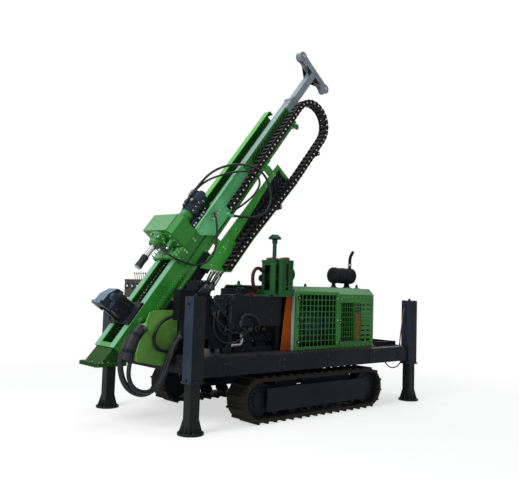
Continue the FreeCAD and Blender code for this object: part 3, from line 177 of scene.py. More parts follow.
@dataclass(frozen=True)
class Finish:
    """A surface finish: colour with clouding, dust, worn edges, roughness and fine relief, and where set, painted
    light: a paler tone on upward faces for the sky's reflection and another tone for the lit side.
    """

    name: str
    slot: str
    colour: Colour
    shade: Colour
    rough: float = 0.45
    metallic: float = 0.0
    coat: float = 0.0
    dust: float = 0.15
    wear: float = 0.35
    worn: Colour = (0.3, 0.31, 0.31)
    grain: float = 160.0
    relief: float = 0.08
    edge: float = 0.004
    gloss: float = 0.06
    # Painted sky reflection: share and tone of a paler colour on upward faces.
    sky_sheen: float = 0.0
    sky_sheen_tone: Colour = (0.3, 0.48, 0.37)
    # Painted lit side: the tone of faces turned toward the given direction, where the lamps stand.
    lit_side_tone: Colour | None = None
    lit_side_way: Triple = (-1.0, 0.0, 0.0)

    def material(self) -> bpy.types.Material:
        """Builds the finish's material once and returns it."""
        found = bpy.data.materials.get(self.name)
        return found or self.build()

    def pattern(self, graph: Graph) -> bpy.types.NodeSocket:
        """Height of the fine relief, from 0 to 1."""
        return graph.noise(self.grain, 3.0)

    def tint(self, graph: Graph) -> bpy.types.NodeSocket:
        """Colour before dust and wear, with the painted lit side where set, and paler on upward faces, where the
        sky's reflection is painted.
        """
        cloud = graph.span(graph.noise(2.3, 5.0), 0.38, 0.66)
        fine = graph.span(graph.noise(31.0, 5.0), 0.35, 0.75, 0.0, 0.35)
        paint = graph.blend(graph.math("MAXIMUM", cloud, fine), self.colour, self.shade)
        # Painted lit side: another tone on faces turned toward the lamps.
        if self.lit_side_tone:
            facing = graph.add("ShaderNodeVectorMath", operation="DOT_PRODUCT")
            facing.inputs[1].default_value = self.lit_side_way
            graph.feed(facing.inputs[0], graph.surface.outputs["Normal"])
            paint = graph.blend(graph.span(facing.outputs["Value"], 0.45, 0.85), paint, self.lit_side_tone)
        # Painted sky reflection: a paler tone blended in on faces that turn up.
        if not self.sky_sheen:
            return paint
        up = graph.span(graph.axis(graph.surface.outputs["Normal"], "Z"), 0.35, 1.0, 0.0, self.sky_sheen)
        return graph.blend(graph.math("MULTIPLY", up, graph.span(graph.noise(3.1, 5.0), 0.3, 0.7, 0.65, 1.0)),
            paint, self.sky_sheen_tone)

    def build(self) -> bpy.types.Material:
        """Makes the node tree.

        Returns:
            The new material.
        """
        graph = Graph(self.name)
        shader = graph.shader
        round_edge = graph.add("ShaderNodeBevel", samples=3)
        round_edge.inputs["Radius"].default_value = self.edge
        dot = graph.add("ShaderNodeVectorMath", operation="DOT_PRODUCT")
        graph.feed(dot.inputs[0], round_edge.outputs["Normal"])
        graph.feed(dot.inputs[1], graph.surface.outputs["Normal"])
        chipped = graph.span(graph.noise(23.0, 6.0), 0.5, 0.62)
        wear_and_sheen = graph.math("MULTIPLY", graph.span(dot.outputs["Value"], 0.995, 0.93, 0.0, self.wear), chipped)
        facing = graph.span(graph.axis(graph.surface.outputs["Normal"], "Z"), 0.3, 0.95)
        low = graph.span(graph.axis(graph.place, "Z"), 1.1, 0.05, 0.0, 0.8)
        settled = graph.math("MULTIPLY", graph.math("MAXIMUM", facing, low),
            graph.span(graph.noise(5.0, 6.0), 0.3, 0.7, 0.2, self.dust * 2))
        dusty = graph.math("MULTIPLY", settled, self.dust * 2)
        colour = graph.blend(dusty, graph.blend(wear_and_sheen, self.tint(graph), self.worn), DUST_TONE)
        graph.feed(shader.inputs["Base Color"], colour)
        spread = graph.span(graph.noise(7.0, 5.0), 0.3, 0.7, self.rough - 0.07, self.rough + 0.1)
        graph.feed(shader.inputs["Roughness"], graph.math("MAXIMUM", spread, graph.math("MULTIPLY", dusty, 2.0)))
        for key, value in (("Specular IOR Level", self.gloss), ("Metallic", self.metallic),
                ("Coat Weight", self.coat), ("Coat Roughness", COAT_ROUGHNESS)):
            shader.inputs[key].default_value = value
        bump = graph.add("ShaderNodeBump")
        bump.inputs["Strength"].default_value = self.relief
        bump.inputs["Distance"].default_value = BUMP_HEIGHT
        graph.feed(bump.inputs["Height"], self.pattern(graph))
        graph.feed(bump.inputs["Normal"], round_edge.outputs["Normal"])
        graph.feed(shader.inputs["Normal"], bump.outputs["Normal"])
        return graph.material


@dataclass(frozen=True)
class Streaked(Finish):
    """Drawn or turned metal, with streaks along one axis."""

    stretch: Triple = (1.0, 1.0, 14.0)

    def pattern(self, graph: Graph) -> bpy.types.NodeSocket:
        """Fine streaks."""
        return graph.noise(60.0, 4.0, self.stretch)


@dataclass(frozen=True)
class Cast(Finish):
    """Sand-cast metal, with a rough skin."""

    def pattern(self, graph: Graph) -> bpy.types.NodeSocket:
        """Coarse pits over fine grain."""
        cells = graph.add("ShaderNodeTexVoronoi")
        cells.inputs["Scale"].default_value = self.grain
        graph.feed(cells.inputs["Vector"], graph.place)
        return graph.math("ADD", graph.math("MULTIPLY", cells.outputs["Distance"], 0.5),
            graph.noise(self.grain * 2, 3.0))


@dataclass(frozen=True)
class Tread(Finish):
    """Sheet with raised bars in a diamond pattern."""

    pitch: float = 16.0

    def pattern(self, graph: Graph) -> bpy.types.NodeSocket:
        """Raised bars at two slopes."""
        heights = []
        for turn in (45, -45):
            mapping = graph.add("ShaderNodeMapping")
            mapping.inputs["Rotation"].default_value = (0.0, 0.0, math.radians(turn))
            mapping.inputs["Scale"].default_value = (1.0, 2.6, 1.0)
            graph.feed(mapping.inputs["Vector"], graph.place)
            waves = graph.add("ShaderNodeTexVoronoi", feature="F1", distance="CHEBYCHEV")
            waves.inputs["Scale"].default_value = self.pitch
            waves.inputs["Randomness"].default_value = 0.0
            graph.feed(waves.inputs["Vector"], mapping.outputs["Vector"])
            heights.append(graph.span(waves.outputs["Distance"], 0.16, 0.1))
        return graph.math("MAXIMUM", heights[0], heights[1])


@dataclass(frozen=True)
class Slideway(Finish):
    """Mast paint, with a painted sky reflection on the front faces of the flanges."""

    # The tones below paint the sky's reflection on the front faces of the flanges.
    low_flange_sheen: Colour = (0.13, 0.31, 0.2)
    wear_and_sheen: Colour = (0.165, 0.215, 0.25)

    def tint(self, graph: Graph) -> bpy.types.NodeSocket:
        """Paint, with a painted sky reflection along the flanges' front faces: pale green low down, and further up
        blue-grey on the near flange and bright green on the far one.
        """
        place = graph.mast_place()
        lane = graph.axis(place, "Y")
        across = graph.math("ABSOLUTE", lane)
        track = graph.math("MULTIPLY", graph.span(across, 0.128, 0.134), graph.span(across, 0.236, 0.228))
        track = graph.math("MULTIPLY", track, graph.span(graph.axis(place, "Z"), -0.006, -0.002))
        streaks = graph.add("ShaderNodeTexNoise")
        stretched = graph.add("ShaderNodeVectorMath", operation="MULTIPLY")
        stretched.inputs[1].default_value = (0.6, 40.0, 40.0)
        graph.feed(stretched.inputs[0], place)
        graph.feed(streaks.inputs["Vector"], stretched.outputs[0])
        share = graph.math("MULTIPLY", track, graph.span(streaks.outputs["Fac"], 0.25, 0.6, 0.45, 1.0))
        upper = graph.blend(graph.span(lane, -0.01, 0.01), self.wear_and_sheen, UPPER_FLANGE_SHEEN)
        shine = graph.blend(graph.span(graph.axis(place, "X"), 1.5, 2.2), self.low_flange_sheen, upper)
        return graph.blend(share, super().tint(graph), shine)


@dataclass(frozen=True)
class Drummed(Finish):
    """Clamp paint: dark navy on the head, which shows pale blue where its painted lit side turns up and forward,
    and black on the drum and plate below it.
    """

    def tint(self, graph: Graph) -> bpy.types.NodeSocket:
        """Navy with its painted lit side above the drum, black below it, in the mast's axes."""
        place = graph.mast_place()
        return graph.blend(graph.span(graph.axis(place, "Z"), 0.222, 0.228), BLACK_TONE, super().tint(graph))


@dataclass(frozen=True)
class Wrapped(Finish):
    """Hose cover with a fine cross weave."""

    def pattern(self, graph: Graph) -> bpy.types.NodeSocket:
        """Close bands crossed by noise."""
        bands = graph.add("ShaderNodeTexWave", bands_direction="DIAGONAL")
        bands.inputs["Scale"].default_value = self.grain
        bands.inputs["Distortion"].default_value = 1.5
        graph.feed(bands.inputs["Vector"], graph.place)
        return graph.math("ADD", bands.outputs["Fac"], graph.noise(self.grain * 3, 2.0))


# A paler tone set for upward faces paints the sky's reflection on them; a lit-side tone paints the lit side.
GREEN = Finish("rig_green", "green_paint", (0.022, 0.165, 0.02), (0.014, 0.122, 0.014), 0.3, coat=0.06, dust=0.05,
    sky_sheen=0.6, gloss=0.14)
MAST_GREEN = Slideway("mast_green", "green_paint", (0.028, 0.215, 0.026), (0.019, 0.15, 0.018), 0.3, coat=0.06,
    dust=0.05, sky_sheen=0.3, gloss=0.14)
BRIGHT_GREEN = Finish("bright_green", "light_green", (0.036, 0.265, 0.03), (0.028, 0.215, 0.026), 0.32, coat=0.06,
    dust=0.04, sky_sheen=0.45, gloss=0.14)
EAR_GREEN = Finish("dusty_green", "light_green", (0.135, 0.33, 0.06), (0.08, 0.2, 0.04), 0.5, dust=0.14)
# Jack tubes: near black, with a painted lit side in navy on faces turned to the front end.
NAVY = Finish("tube_navy", "navy_paint", (0.011, 0.014, 0.017), (0.007, 0.009, 0.011), 0.38, dust=0.04,
    lit_side_tone=(0.018, 0.025, 0.041))
LEG = Finish("leg_black", "navy_paint", (0.009, 0.012, 0.012), (0.006, 0.008, 0.008), 0.42, dust=0.08)
# Clamp drum: dark navy, with a painted lit side in pale blue on faces turned up and forward.
DRUM_BLUE = Drummed("clamp_drum_paint", "navy_paint", (0.016, 0.021, 0.029), (0.01, 0.013, 0.018), 0.36, dust=0.04,
    lit_side_tone=(0.095, 0.14, 0.19), lit_side_way=(-0.79, 0.0, 0.61))
PALE_GREEN = Finish("pale_green", "light_green", (0.115, 0.43, 0.18), (0.082, 0.34, 0.13), 0.34, coat=0.06,
    dust=0.04, sky_sheen=0.4)
CAGE_GREEN = Finish("cage_green", "green_paint", (0.014, 0.078, 0.02), (0.01, 0.056, 0.014), 0.4, dust=0.04,
    sky_sheen=0.35, sky_sheen_tone=(0.08, 0.19, 0.12))
# Near-black that paints the shade in the engine bay, inside the winch cage and in the valve boxes.
SHADE_BLACK = Finish("shade_black", "black_paint", (0.003, 0.004, 0.005), (0.002, 0.003, 0.004), 0.5, dust=0.02)
# Dark green that paints the shade over the mast's foot.
SHADE_GREEN = Finish("foot_shade_green", "green_paint", (0.012, 0.062, 0.011), (0.008, 0.042, 0.008), 0.5, dust=0.05,
    sky_sheen=0.25, sky_sheen_tone=(0.06, 0.12, 0.04))
CLAMP_BLUE = Finish("clamp_paint", "navy_paint", (0.046, 0.074, 0.11), (0.022, 0.034, 0.052), 0.36, coat=0.1,
    dust=0.06, sky_sheen=0.3, sky_sheen_tone=(0.17, 0.24, 0.31))
BLACK = Finish("frame_black", "black_paint", (0.008, 0.01, 0.012), (0.005, 0.006, 0.008), 0.42, dust=0.03)
DECK = Tread("deck_tread", "black_paint", (0.012, 0.013, 0.015), (0.008, 0.009, 0.01), 0.5, dust=0.14, relief=0.5)
PANEL = Finish("panel_grey", "grey_steel", (0.007, 0.009, 0.011), (0.005, 0.006, 0.007), 0.5, dust=0.03)
TRACK = Cast("track_black", "track_steel", (0.008, 0.008, 0.008), (0.004, 0.004, 0.004), 0.62, dust=0.14, wear=0.5,
    worn=(0.08, 0.07, 0.055), grain=90.0, relief=0.25)
CROWN = Finish("crown_grey", "grey_paint", (0.2, 0.24, 0.265), (0.13, 0.155, 0.175), 0.38, coat=0.1, dust=0.05)
ORANGE = Finish("shroud_orange", "orange_paint", (0.264, 0.052, 0.004), (0.165, 0.03, 0.003), 0.42, dust=0.08)
TEAL = Finish("post_teal", "teal_paint", (0.007, 0.042, 0.034), (0.005, 0.03, 0.024), 0.34, coat=0.1, dust=0.05)
STEEL = Streaked("turned_steel", "bright_steel", (0.56, 0.56, 0.56), (0.38, 0.38, 0.39), 0.28, metallic=1.0,
    dust=0.05, wear=0.0)
ZINC = Cast("zinc_plate", "bright_steel", (0.4, 0.41, 0.4), (0.24, 0.24, 0.23), 0.36, metallic=0.9, dust=0.1,
    wear=0.0, edge=0.002)
DARK_BOLT = Cast("dark_bolt", "bright_steel", (0.03, 0.032, 0.034), (0.014, 0.015, 0.016), 0.42, metallic=0.3,
    dust=0.08, wear=0.0, edge=0.002)
LINKS = Cast("chain_plastic", "chain_black", (0.007, 0.007, 0.008), (0.004, 0.004, 0.005), 0.48, dust=0.05,
    wear=0.2, relief=0.1)
RIB = Finish("chain_rib", "chain_black", (0.03, 0.032, 0.036), (0.015, 0.016, 0.019), 0.45, dust=0.06, edge=0.003)
STUD = Finish("chain_stud", "bright_steel", (0.62, 0.58, 0.42), (0.45, 0.42, 0.3), 0.4, dust=0.02, wear=0.0,
    edge=0.002)
ENGINE = Cast("engine_cast", "engine_grey", (0.035, 0.043, 0.047), (0.016, 0.02, 0.023), 0.5, dust=0.08,
    relief=0.25)
CORE = Cast("radiator_core", "engine_grey", (0.065, 0.07, 0.072), (0.035, 0.038, 0.04), 0.5, metallic=0.4,
    grain=260.0, relief=0.5)
SOOT = Finish("silencer_black", "soot_black", (0.009, 0.01, 0.012), (0.006, 0.006, 0.007), 0.55, dust=0.06,
    wear=0.15)
CONSOLE = Cast("console_grey", "black_paint", (0.06, 0.062, 0.056), (0.026, 0.024, 0.02), 0.5, dust=0.12,
    grain=40.0)
PUMP = Cast("pump_black", "black_paint", (0.01, 0.015, 0.022), (0.006, 0.008, 0.012), 0.45, dust=0.06, relief=0.2)
MOTOR = Cast("motor_blue", "black_paint", (0.026, 0.038, 0.05), (0.012, 0.018, 0.026), 0.42, dust=0.06, relief=0.2)
HOSE = Wrapped("hose_cover", "hose_black", (0.01, 0.011, 0.013), (0.006, 0.007, 0.008), 0.45, dust=0.05, wear=0.0,
    grain=70.0, relief=0.2, edge=0.002, gloss=0.2)
HOSE_BROWN = Wrapped("brown_hose", "hose_black", (0.06, 0.022, 0.014), (0.03, 0.012, 0.008), 0.5, wear=0.0,
    dust=0.05, grain=70.0, relief=0.15, edge=0.002)
HOSE_RUST = Wrapped("rust_hose", "hose_black", (0.2, 0.085, 0.03), (0.11, 0.045, 0.018), 0.5, wear=0.0, dust=0.05,
    grain=70.0, relief=0.15, edge=0.002)
HOSE_CREAM = Wrapped("cream_hose", "hose_black", (0.52, 0.4, 0.23), (0.38, 0.28, 0.16), 0.5, wear=0.0, grain=70.0,
    relief=0.1, edge=0.002)
# Pale metallic cover that paints the highlights seen along black hoses.
HIGHLIGHT_HOSE = Wrapped("highlight_hose", "hose_black", (0.18, 0.185, 0.18), (0.05, 0.052, 0.052), 0.38, metallic=0.5,
    wear=0.0, dust=0.05, grain=90.0, relief=0.2, edge=0.002)
RED = Finish("knob_red", "orange_paint", (0.2, 0.02, 0.012), (0.12, 0.015, 0.01), 0.35, dust=0.05)
GLASS = Finish("gauge_face", "bright_steel", (0.6, 0.62, 0.6), (0.5, 0.52, 0.5), 0.2, coat=0.6, dust=0.02, wear=0.0)


# Building of meshes

def put(name: str, data: bpy.types.ID) -> bpy.types.Object:
    """Adds an object with the given data to the scene."""
    item = bpy.data.objects.new(name, data)
    bpy.context.scene.collection.objects.link(item)
    return item


def placed(spot: Triple, turn: float, letter: str) -> Matrix:
    """Axes at a point, turned by an angle in radians about one of their own."""
    return Matrix.Translation(spot) @ Matrix.Rotation(turn, 4, letter)


def circle(count: int, radius: float, phase: float = 0.0) -> list[tuple[float, float]]:
    """Evenly spaced points of a circle round nought.

    Args:
        count: number of points.
        radius: radius of the circle.
        phase: share of a step that the first point is turned by.

    Returns:
        Both coordinates of every point.
    """
    turns = [math.tau * (i + phase) / count for i in range(count)]
    return [(radius * math.cos(a), radius * math.sin(a)) for a in turns]


def span_y(side: int, near: float, far: float) -> list[float]:
    """Two places across one side of the rig, the lower one first."""
    return sorted((side * near, side * far))


class Shape:
    """A piece under construction: solids gathered in one set of axes, then kept as one object."""

    def __init__(self, axes: Matrix = RIG, *finishes: Finish) -> None:
        """Starts an empty piece.

        Args:
            axes: the axes that its numbers are given in.
            finishes: its finishes, which the solids name by their place in this list.
        """
        self.axes = axes
        self.finishes = finishes
        self.mesh = bmesh.new()

    def keep(self, part: bmesh.types.BMesh, finish: int = 0, place: Matrix | None = None) -> None:
        """Adds a solid to the piece and frees it.

        Args:
            part: the solid.
            finish: which of the piece's finishes it has.
            place: its place in the piece's axes.
        """
        for face in part.faces:
            face.material_index = finish
        part.transform(self.axes @ place if place else self.axes)
        bmesh.ops.recalc_face_normals(part, faces=part.faces)
        held = bpy.data.meshes.new("held")
        part.to_mesh(held)
        part.free()
        self.mesh.from_mesh(held)
        bpy.data.meshes.remove(held)

    def soften(self, part: bmesh.types.BMesh, bevel: float) -> None:
        """Rounds every sharp edge of a solid."""
        sharp = [edge for edge in part.edges if edge.calc_face_angle(0.0) > SHARP]
        if bevel > 0.0 and sharp:
            bmesh.ops.bevel(part, geom=sharp, offset=bevel, offset_type="OFFSET", segments=1, profile=0.5,
                affect="EDGES", clamp_overlap=True, material=-1)

    def block(self, low: Triple, high: Triple, bevel: float = 0.003, finish: int = 0,
            place: Matrix | None = None) -> None:
        """A block between two corners."""
        part = bmesh.new()
        bmesh.ops.create_cube(part, size=1.0)
        size = [high[i] - low[i] for i in range(3)]
        middle = [(high[i] + low[i]) / 2 for i in range(3)]
        bmesh.ops.scale(part, vec=size, verts=part.verts)
        bmesh.ops.translate(part, vec=middle, verts=part.verts)
        self.soften(part, bevel)
        self.keep(part, finish, place)

    def rod(self, start: Triple, end: Triple, radius: float, finish: int = 0, sides: int = 18, bevel: float = 0.0,
            tip: float | None = None) -> None:
        """A round bar, cone or prism from one point to another.

        Args:
            start: middle of its first end.
            end: middle of its other end.
            radius: radius at the start.
            finish: which of the piece's finishes it has.
            sides: number of its sides.
            bevel: width of the rounding at its ends.
            tip: radius at the other end, where it differs.
        """
        first, along = Vector(start), Vector(end) - Vector(start)
        part = bmesh.new()
        bmesh.ops.create_cone(part, cap_ends=True, cap_tris=False, segments=sides, radius1=radius,
            radius2=radius if tip is None else tip, depth=along.length)
        if bevel > 0.0:
            rims = [edge for edge in part.edges if any(len(face.verts) > 4 or sides == 4
                for face in edge.link_faces)]
            bmesh.ops.bevel(part, geom=rims, offset=bevel, offset_type="OFFSET", segments=2, profile=0.5,
                affect="EDGES", clamp_overlap=True, material=-1)
        turn = along.to_track_quat("Z", "Y").to_matrix().to_4x4()
        self.keep(part, finish, Matrix.Translation(first + along / 2) @ turn)

    def lathe(self, profile: Sequence[tuple[float, float]], start: Triple, along: Triple, finish: int = 0,
            steps: int = 24) -> None:
        """A turned solid.

        Args:
            profile: its outline as distance along the axis and radius.
            start: where the distance is nought.
            along: direction of the axis.
            finish: which of the piece's finishes it has.
            steps: number of its sides.
        """
        part = bmesh.new()
        points = [part.verts.new((radius, 0.0, distance)) for distance, radius in profile]
        edges = [part.edges.new(pair) for pair in zip(points, points[1:])]
        bmesh.ops.spin(part, geom=points + edges, cent=(0, 0, 0), axis=(0, 0, 1), angle=math.tau, steps=steps,
            use_merge=True, use_duplicate=False)
        bmesh.ops.remove_doubles(part, verts=part.verts, dist=MERGE)
        turn = Vector(along).to_track_quat("Z", "Y").to_matrix().to_4x4()
        self.keep(part, finish, Matrix.Translation(start) @ turn)

    def band(self, inner: float, outer: float, width: float, start: Triple, along: Triple, finish: int = 0,
            steps: int = 24) -> None:
        """A square ring, turned like lathe's solids, between two radii."""
        profile = [(0.0, inner), (0.0, outer), (width, outer), (width, inner), (0.0, inner)]
        self.lathe(profile, start, along, finish, steps)

    def plate(self, outline: Sequence[tuple[float, float]], near: float, thick: float, plane: Plane = Plane.SIDE,
            bevel: float = 0.002, finish: int = 0, place: Matrix | None = None) -> None:
        """A flat plate cut to an outline.

        Args:
            outline: its corners in the plane.
            near: place of its first face across the plane.
            thick: its thickness.
            plane: the plane of the outline.
            bevel: rounding of its edges.
            finish: which of the piece's finishes it has.
            place: its place in the piece's axes.
        """
        order = {Plane.SIDE: (0, 2, 1), Plane.TOP: (0, 1, 2), Plane.END: (1, 2, 0)}[plane]
        part = bmesh.new()
        corners = []
        for first, second in outline:
            point = [0.0, 0.0, 0.0]
            point[order[0]], point[order[1]], point[order[2]] = first, second, near
            corners.append(part.verts.new(point))
        face = part.faces.new(corners)
        lift = [0.0, 0.0, 0.0]
        lift[order[2]] = thick
        made = bmesh.ops.extrude_face_region(part, geom=[face], use_keep_orig=True)
        moved = [item for item in made["geom"] if isinstance(item, bmesh.types.BMVert)]
        bmesh.ops.translate(part, vec=lift, verts=moved)
        bmesh.ops.recalc_face_normals(part, faces=part.faces)
        self.soften(part, bevel)
        self.keep(part, finish, place)

    def bolt(self, spot: Triple, along: Triple, size: float = 0.016, finish: int = 0) -> None:
        """A hexagon bolt head on its washer.

        Args:
            spot: middle of the washer's seat.
            along: direction that the head stands out in.
            size: radius of the head's corners.
            finish: which of the piece's finishes it has.
        """
        out = Vector(along).normalized()
        seat = Vector(spot)
        self.rod(seat - out * 0.002, seat + out * size * 0.2, size * 1.25, finish, 12)
        self.rod(seat + out * size * 0.15, seat + out * size * 0.85, size, finish, 6, tip=size * 0.94)

    def bolts(self, spots: Sequence[Triple], along: Triple, size: float = 0.016, finish: int = 0) -> None:
        """Equal bolts at several spots."""
        for spot in spots:
            self.bolt(spot, along, size, finish)

    def pipe(self, points: Sequence[Triple], radius: float, finish: int = 0, sides: int = 3) -> None:
        """A rigid bent pipe whose line rounds the given corners."""
        line = smooth_line("line", points, radius, sides)
        made = bpy.data.meshes.new_from_object(line)
        part = bmesh.new()
        part.from_mesh(made)
        bmesh.ops.remove_doubles(part, verts=part.verts, dist=MERGE)
        bmesh.ops.holes_fill(part, edges=part.edges, sides=0)
        remove_line(line)
        bpy.data.meshes.remove(made)
        self.keep(part, finish)

    def done(self, name: str, body: str) -> bpy.types.Object:
        """Keeps the piece as an object that rides on a body.

        Args:
            name: the object's name.
            body: the CAD body that it moves with.

        Returns:
            The new object.
        """
        mesh = bpy.data.meshes.new(name)
        self.mesh.to_mesh(mesh)
        self.mesh.free()
        for finish in self.finishes:
            mesh.materials.append(finish.material())
        mesh.shade_smooth()
        mesh.set_sharp_from_angle(angle=SMOOTH)
        item = put(name, mesh)
        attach(item, body)
        log.info("%s: %d faces on %s", name, len(mesh.polygons), body)
        return item


def smooth_line(name: str, points: Sequence[Triple], radius: float, sides: int = 3) -> bpy.types.Object:
    """A round tube along a NURBS line whose control points are given.

    Args:
        name: the object's name.
        points: control points of the line.
        radius: radius of the tube.
        sides: fineness of its section.

    Returns:
        The curve object.
    """
    curve = bpy.data.curves.new(name, "CURVE")
    curve.dimensions = "3D"
    curve.resolution_u = 6
    curve.bevel_depth = radius
    curve.bevel_resolution = sides
    curve.use_fill_caps = True
    spline = curve.splines.new("NURBS")
    spline.points.add(len(points) - 1)
    for knot, point in zip(spline.points, points):
        knot.co = (*point, 1.0)
    spline.order_u = 3
    spline.use_endpoint_u = True
    return put(name, curve)


def remove_line(item: bpy.types.Object) -> None:
    """Deletes a curve object that was only a guide."""
    curve = item.data
    bpy.data.objects.remove(item)
    bpy.data.curves.remove(curve)


@dataclass(frozen=True)
class Hose:
    """A hydraulic hose, held by a fitting at each end."""

    name: str
    body: str
    points: tuple[Triple, ...]
    radius: float
    finish: Finish
    stands_for: str = ""
    axes: Matrix | None = None

    def ends(self) -> list[tuple[Vector, Vector]]:
        """Place of both ends, each with the direction into the hose."""
        found = []
        for first, second in ((self.points[0], self.points[1]), (self.points[-1], self.points[-2])):
            start = Vector(first)
            found.append((start, (Vector(second) - start).normalized()))
        return found

    def build(self) -> bpy.types.Object:
        """Returns:
            The curve object.
        """
        axes = self.axes or RIG
        spots = [tuple(axes @ Vector(point)) for point in self.points]
        guide = smooth_line("guide", spots, 0.0)
        line = bpy.data.meshes.new_from_object(guide)
        remove_line(guide)
        bpy.data.meshes.remove(line)
        item = smooth_line(self.name, spots, self.radius)
        item.data.materials.append(self.finish.material())
        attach(item, self.body)
        if self.stands_for:
            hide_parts(self.stands_for)
        return item


# Sub-assemblies

@dataclass
class CarriedNodes:
    """The CAD solids that stay as they are and take a finish."""

    plan: tuple[tuple[Finish, tuple[str, ...]], ...] = (
        (BLACK, ("side_beams", "cross_beams", "undercarriage", "cylinder_lugs", "tilt_barrel", "oil_tank",
            "tilt_frame", "valve_boxes")),
        (DECK, ("deck_sheet",)),
        (NAVY, ("jack_tubes",)),
        (LEG, ("jack_leg",)),
        (TRACK, ("tracks",)),
        (PANEL, ("track_frames",)),
        (EAR_GREEN, ("mast_support",)),
        (MAST_GREEN, ("mast_beam",)),
        (SHADE_GREEN, ("mast_foot",)),
        (PALE_GREEN, ("chain_bracket",)),
        (GREEN, ("head_case", "canopy_shell", "canopy_door", "side_mesh")),
        (CAGE_GREEN, ("winch_cage",)),
        (BRIGHT_GREEN, ("chain_tray",)),
        (STEEL, ("tilt_rod", "spindle")),
        (CROWN, ("crown_sleeve", "crown_tube", "crown_sheave")),
        (MOTOR, ("head_motor",)),
        (PUMP, ("pump_set",)),
        (DRUM_BLUE, ("rod_clamp",)),
        (LINKS, ("drag_chain",)),
        (ENGINE, ("engine_block", "winch_drum")),
        (ORANGE, ("fan_shroud",)),
        (CORE, ("radiator",)),
        (SOOT, ("muffler",)),
        (TEAL, ("mushroom_post",)),
        (HOSE, ("head_hose", "deck_hoses")),
    )

    def dress(self, nodes: dict[str, bpy.types.Object]) -> None:
        """Gives every CAD node its finish.

        Args:
            nodes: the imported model's objects by name.
        """
        for name, item in sorted(nodes.items()):
            finish = next(f for f, stems in self.plan if name.startswith(stems))
            item.data.materials.clear()
            item.data.materials.append(finish.material())
            log.info("%s: %s", name, finish.name)


@dataclass
class Tracks:
    """Wheels, rollers and bolts that dress the crawler tracks."""

    middle_x: float = 0.395
    wheel_reach: float = 1.04
    axle_z: float = 0.2875
    outer_y: float = 0.952
    panel_half: float = 0.9

    def build(self) -> None:
        """Builds both sides."""
        for side in SIDES:
            self.wheels(side)
            self.panel(side)
            self.rollers(side)

    def wheels(self, side: int) -> None:
        """Drive hub at the rear and idler hub at the front of one track."""
        shape = Shape(RIG, PANEL, DARK_BOLT)
        face = side * self.outer_y
        for end in SIDES:
            x = self.middle_x + end * (self.wheel_reach - 0.005)
            shape.lathe([(-0.055, 0.0), (-0.055, 0.185), (-0.03, 0.19), (-0.022, 0.15), (-0.012, 0.15),
                (0.0, 0.142), (0.004, 0.1), (0.022, 0.095), (0.03, 0.05), (0.03, 0.0)], (x, face, self.axle_z),
                (0, side, 0), 0, 36)
            ring = [(x + c, face, self.axle_z + s) for c, s in circle(12, 0.122)]
            shape.bolts(ring, (0, side, 0), 0.01, 1)
            if end > 0:
                for i in range(18):
                    turn = placed((x, face - side * 0.04, self.axle_z), math.tau * i / 18, "Y")
                    shape.block((0.175, -0.02, -0.014), (0.215, 0.02, 0.014), 0.005, 0, turn)
        shape.done(f"track_hubs_{SIDE_NAMES[side]}", "base")

    def panel(self, side: int) -> None:
        """Bolts, rib and grease cover on the side panel."""
        shape = Shape(RIG, PANEL, DARK_BOLT)
        y = side * 0.9665
        for step in range(9):
            x = self.middle_x - self.panel_half + 0.05 + step * 0.2125
            for z in (0.395, 0.178):
                shape.bolt((x, y, z), (0, side, 0), 0.011, 1)
        low, high = span_y(side, 0.9665, 0.9725)
        shape.block((self.middle_x - 0.45, low, 0.235), (self.middle_x - 0.27, high, 0.335), 0.002, 0)
        shape.bolts([(self.middle_x - 0.43 + i * 0.14, side * 0.9725, z) for i in range(2) for z in (0.25, 0.32)],
            (0, side, 0), 0.008, 1)
        shape.done(f"track_panel_bolts_{SIDE_NAMES[side]}", "base")

    def rollers(self, side: int) -> None:
        """Lower rollers, and the guard between frame and upper run."""
        shape = Shape(RIG, PANEL)
        low, high = span_y(side, 0.87, 0.89)
        shape.block((-0.28, low, 0.4), (0.1, high, 0.506), 0.0)
        shape.block((0.19, low, 0.4), (1.16, high, 0.506), 0.0)
        half = [(0.1, 0.0), (0.1, 0.045), (0.07, 0.045), (0.066, 0.062), (0.05, 0.062), (0.046, 0.045)]
        for step in range(6):
            x = self.middle_x - 0.75 + step * 0.3
            shape.lathe([(-place, radius) for place, radius in half] + half[::-1], (x, side * 0.865, 0.128), Y_AXIS,
                0, 16)
        shape.done(f"track_rollers_{SIDE_NAMES[side]}", "base")


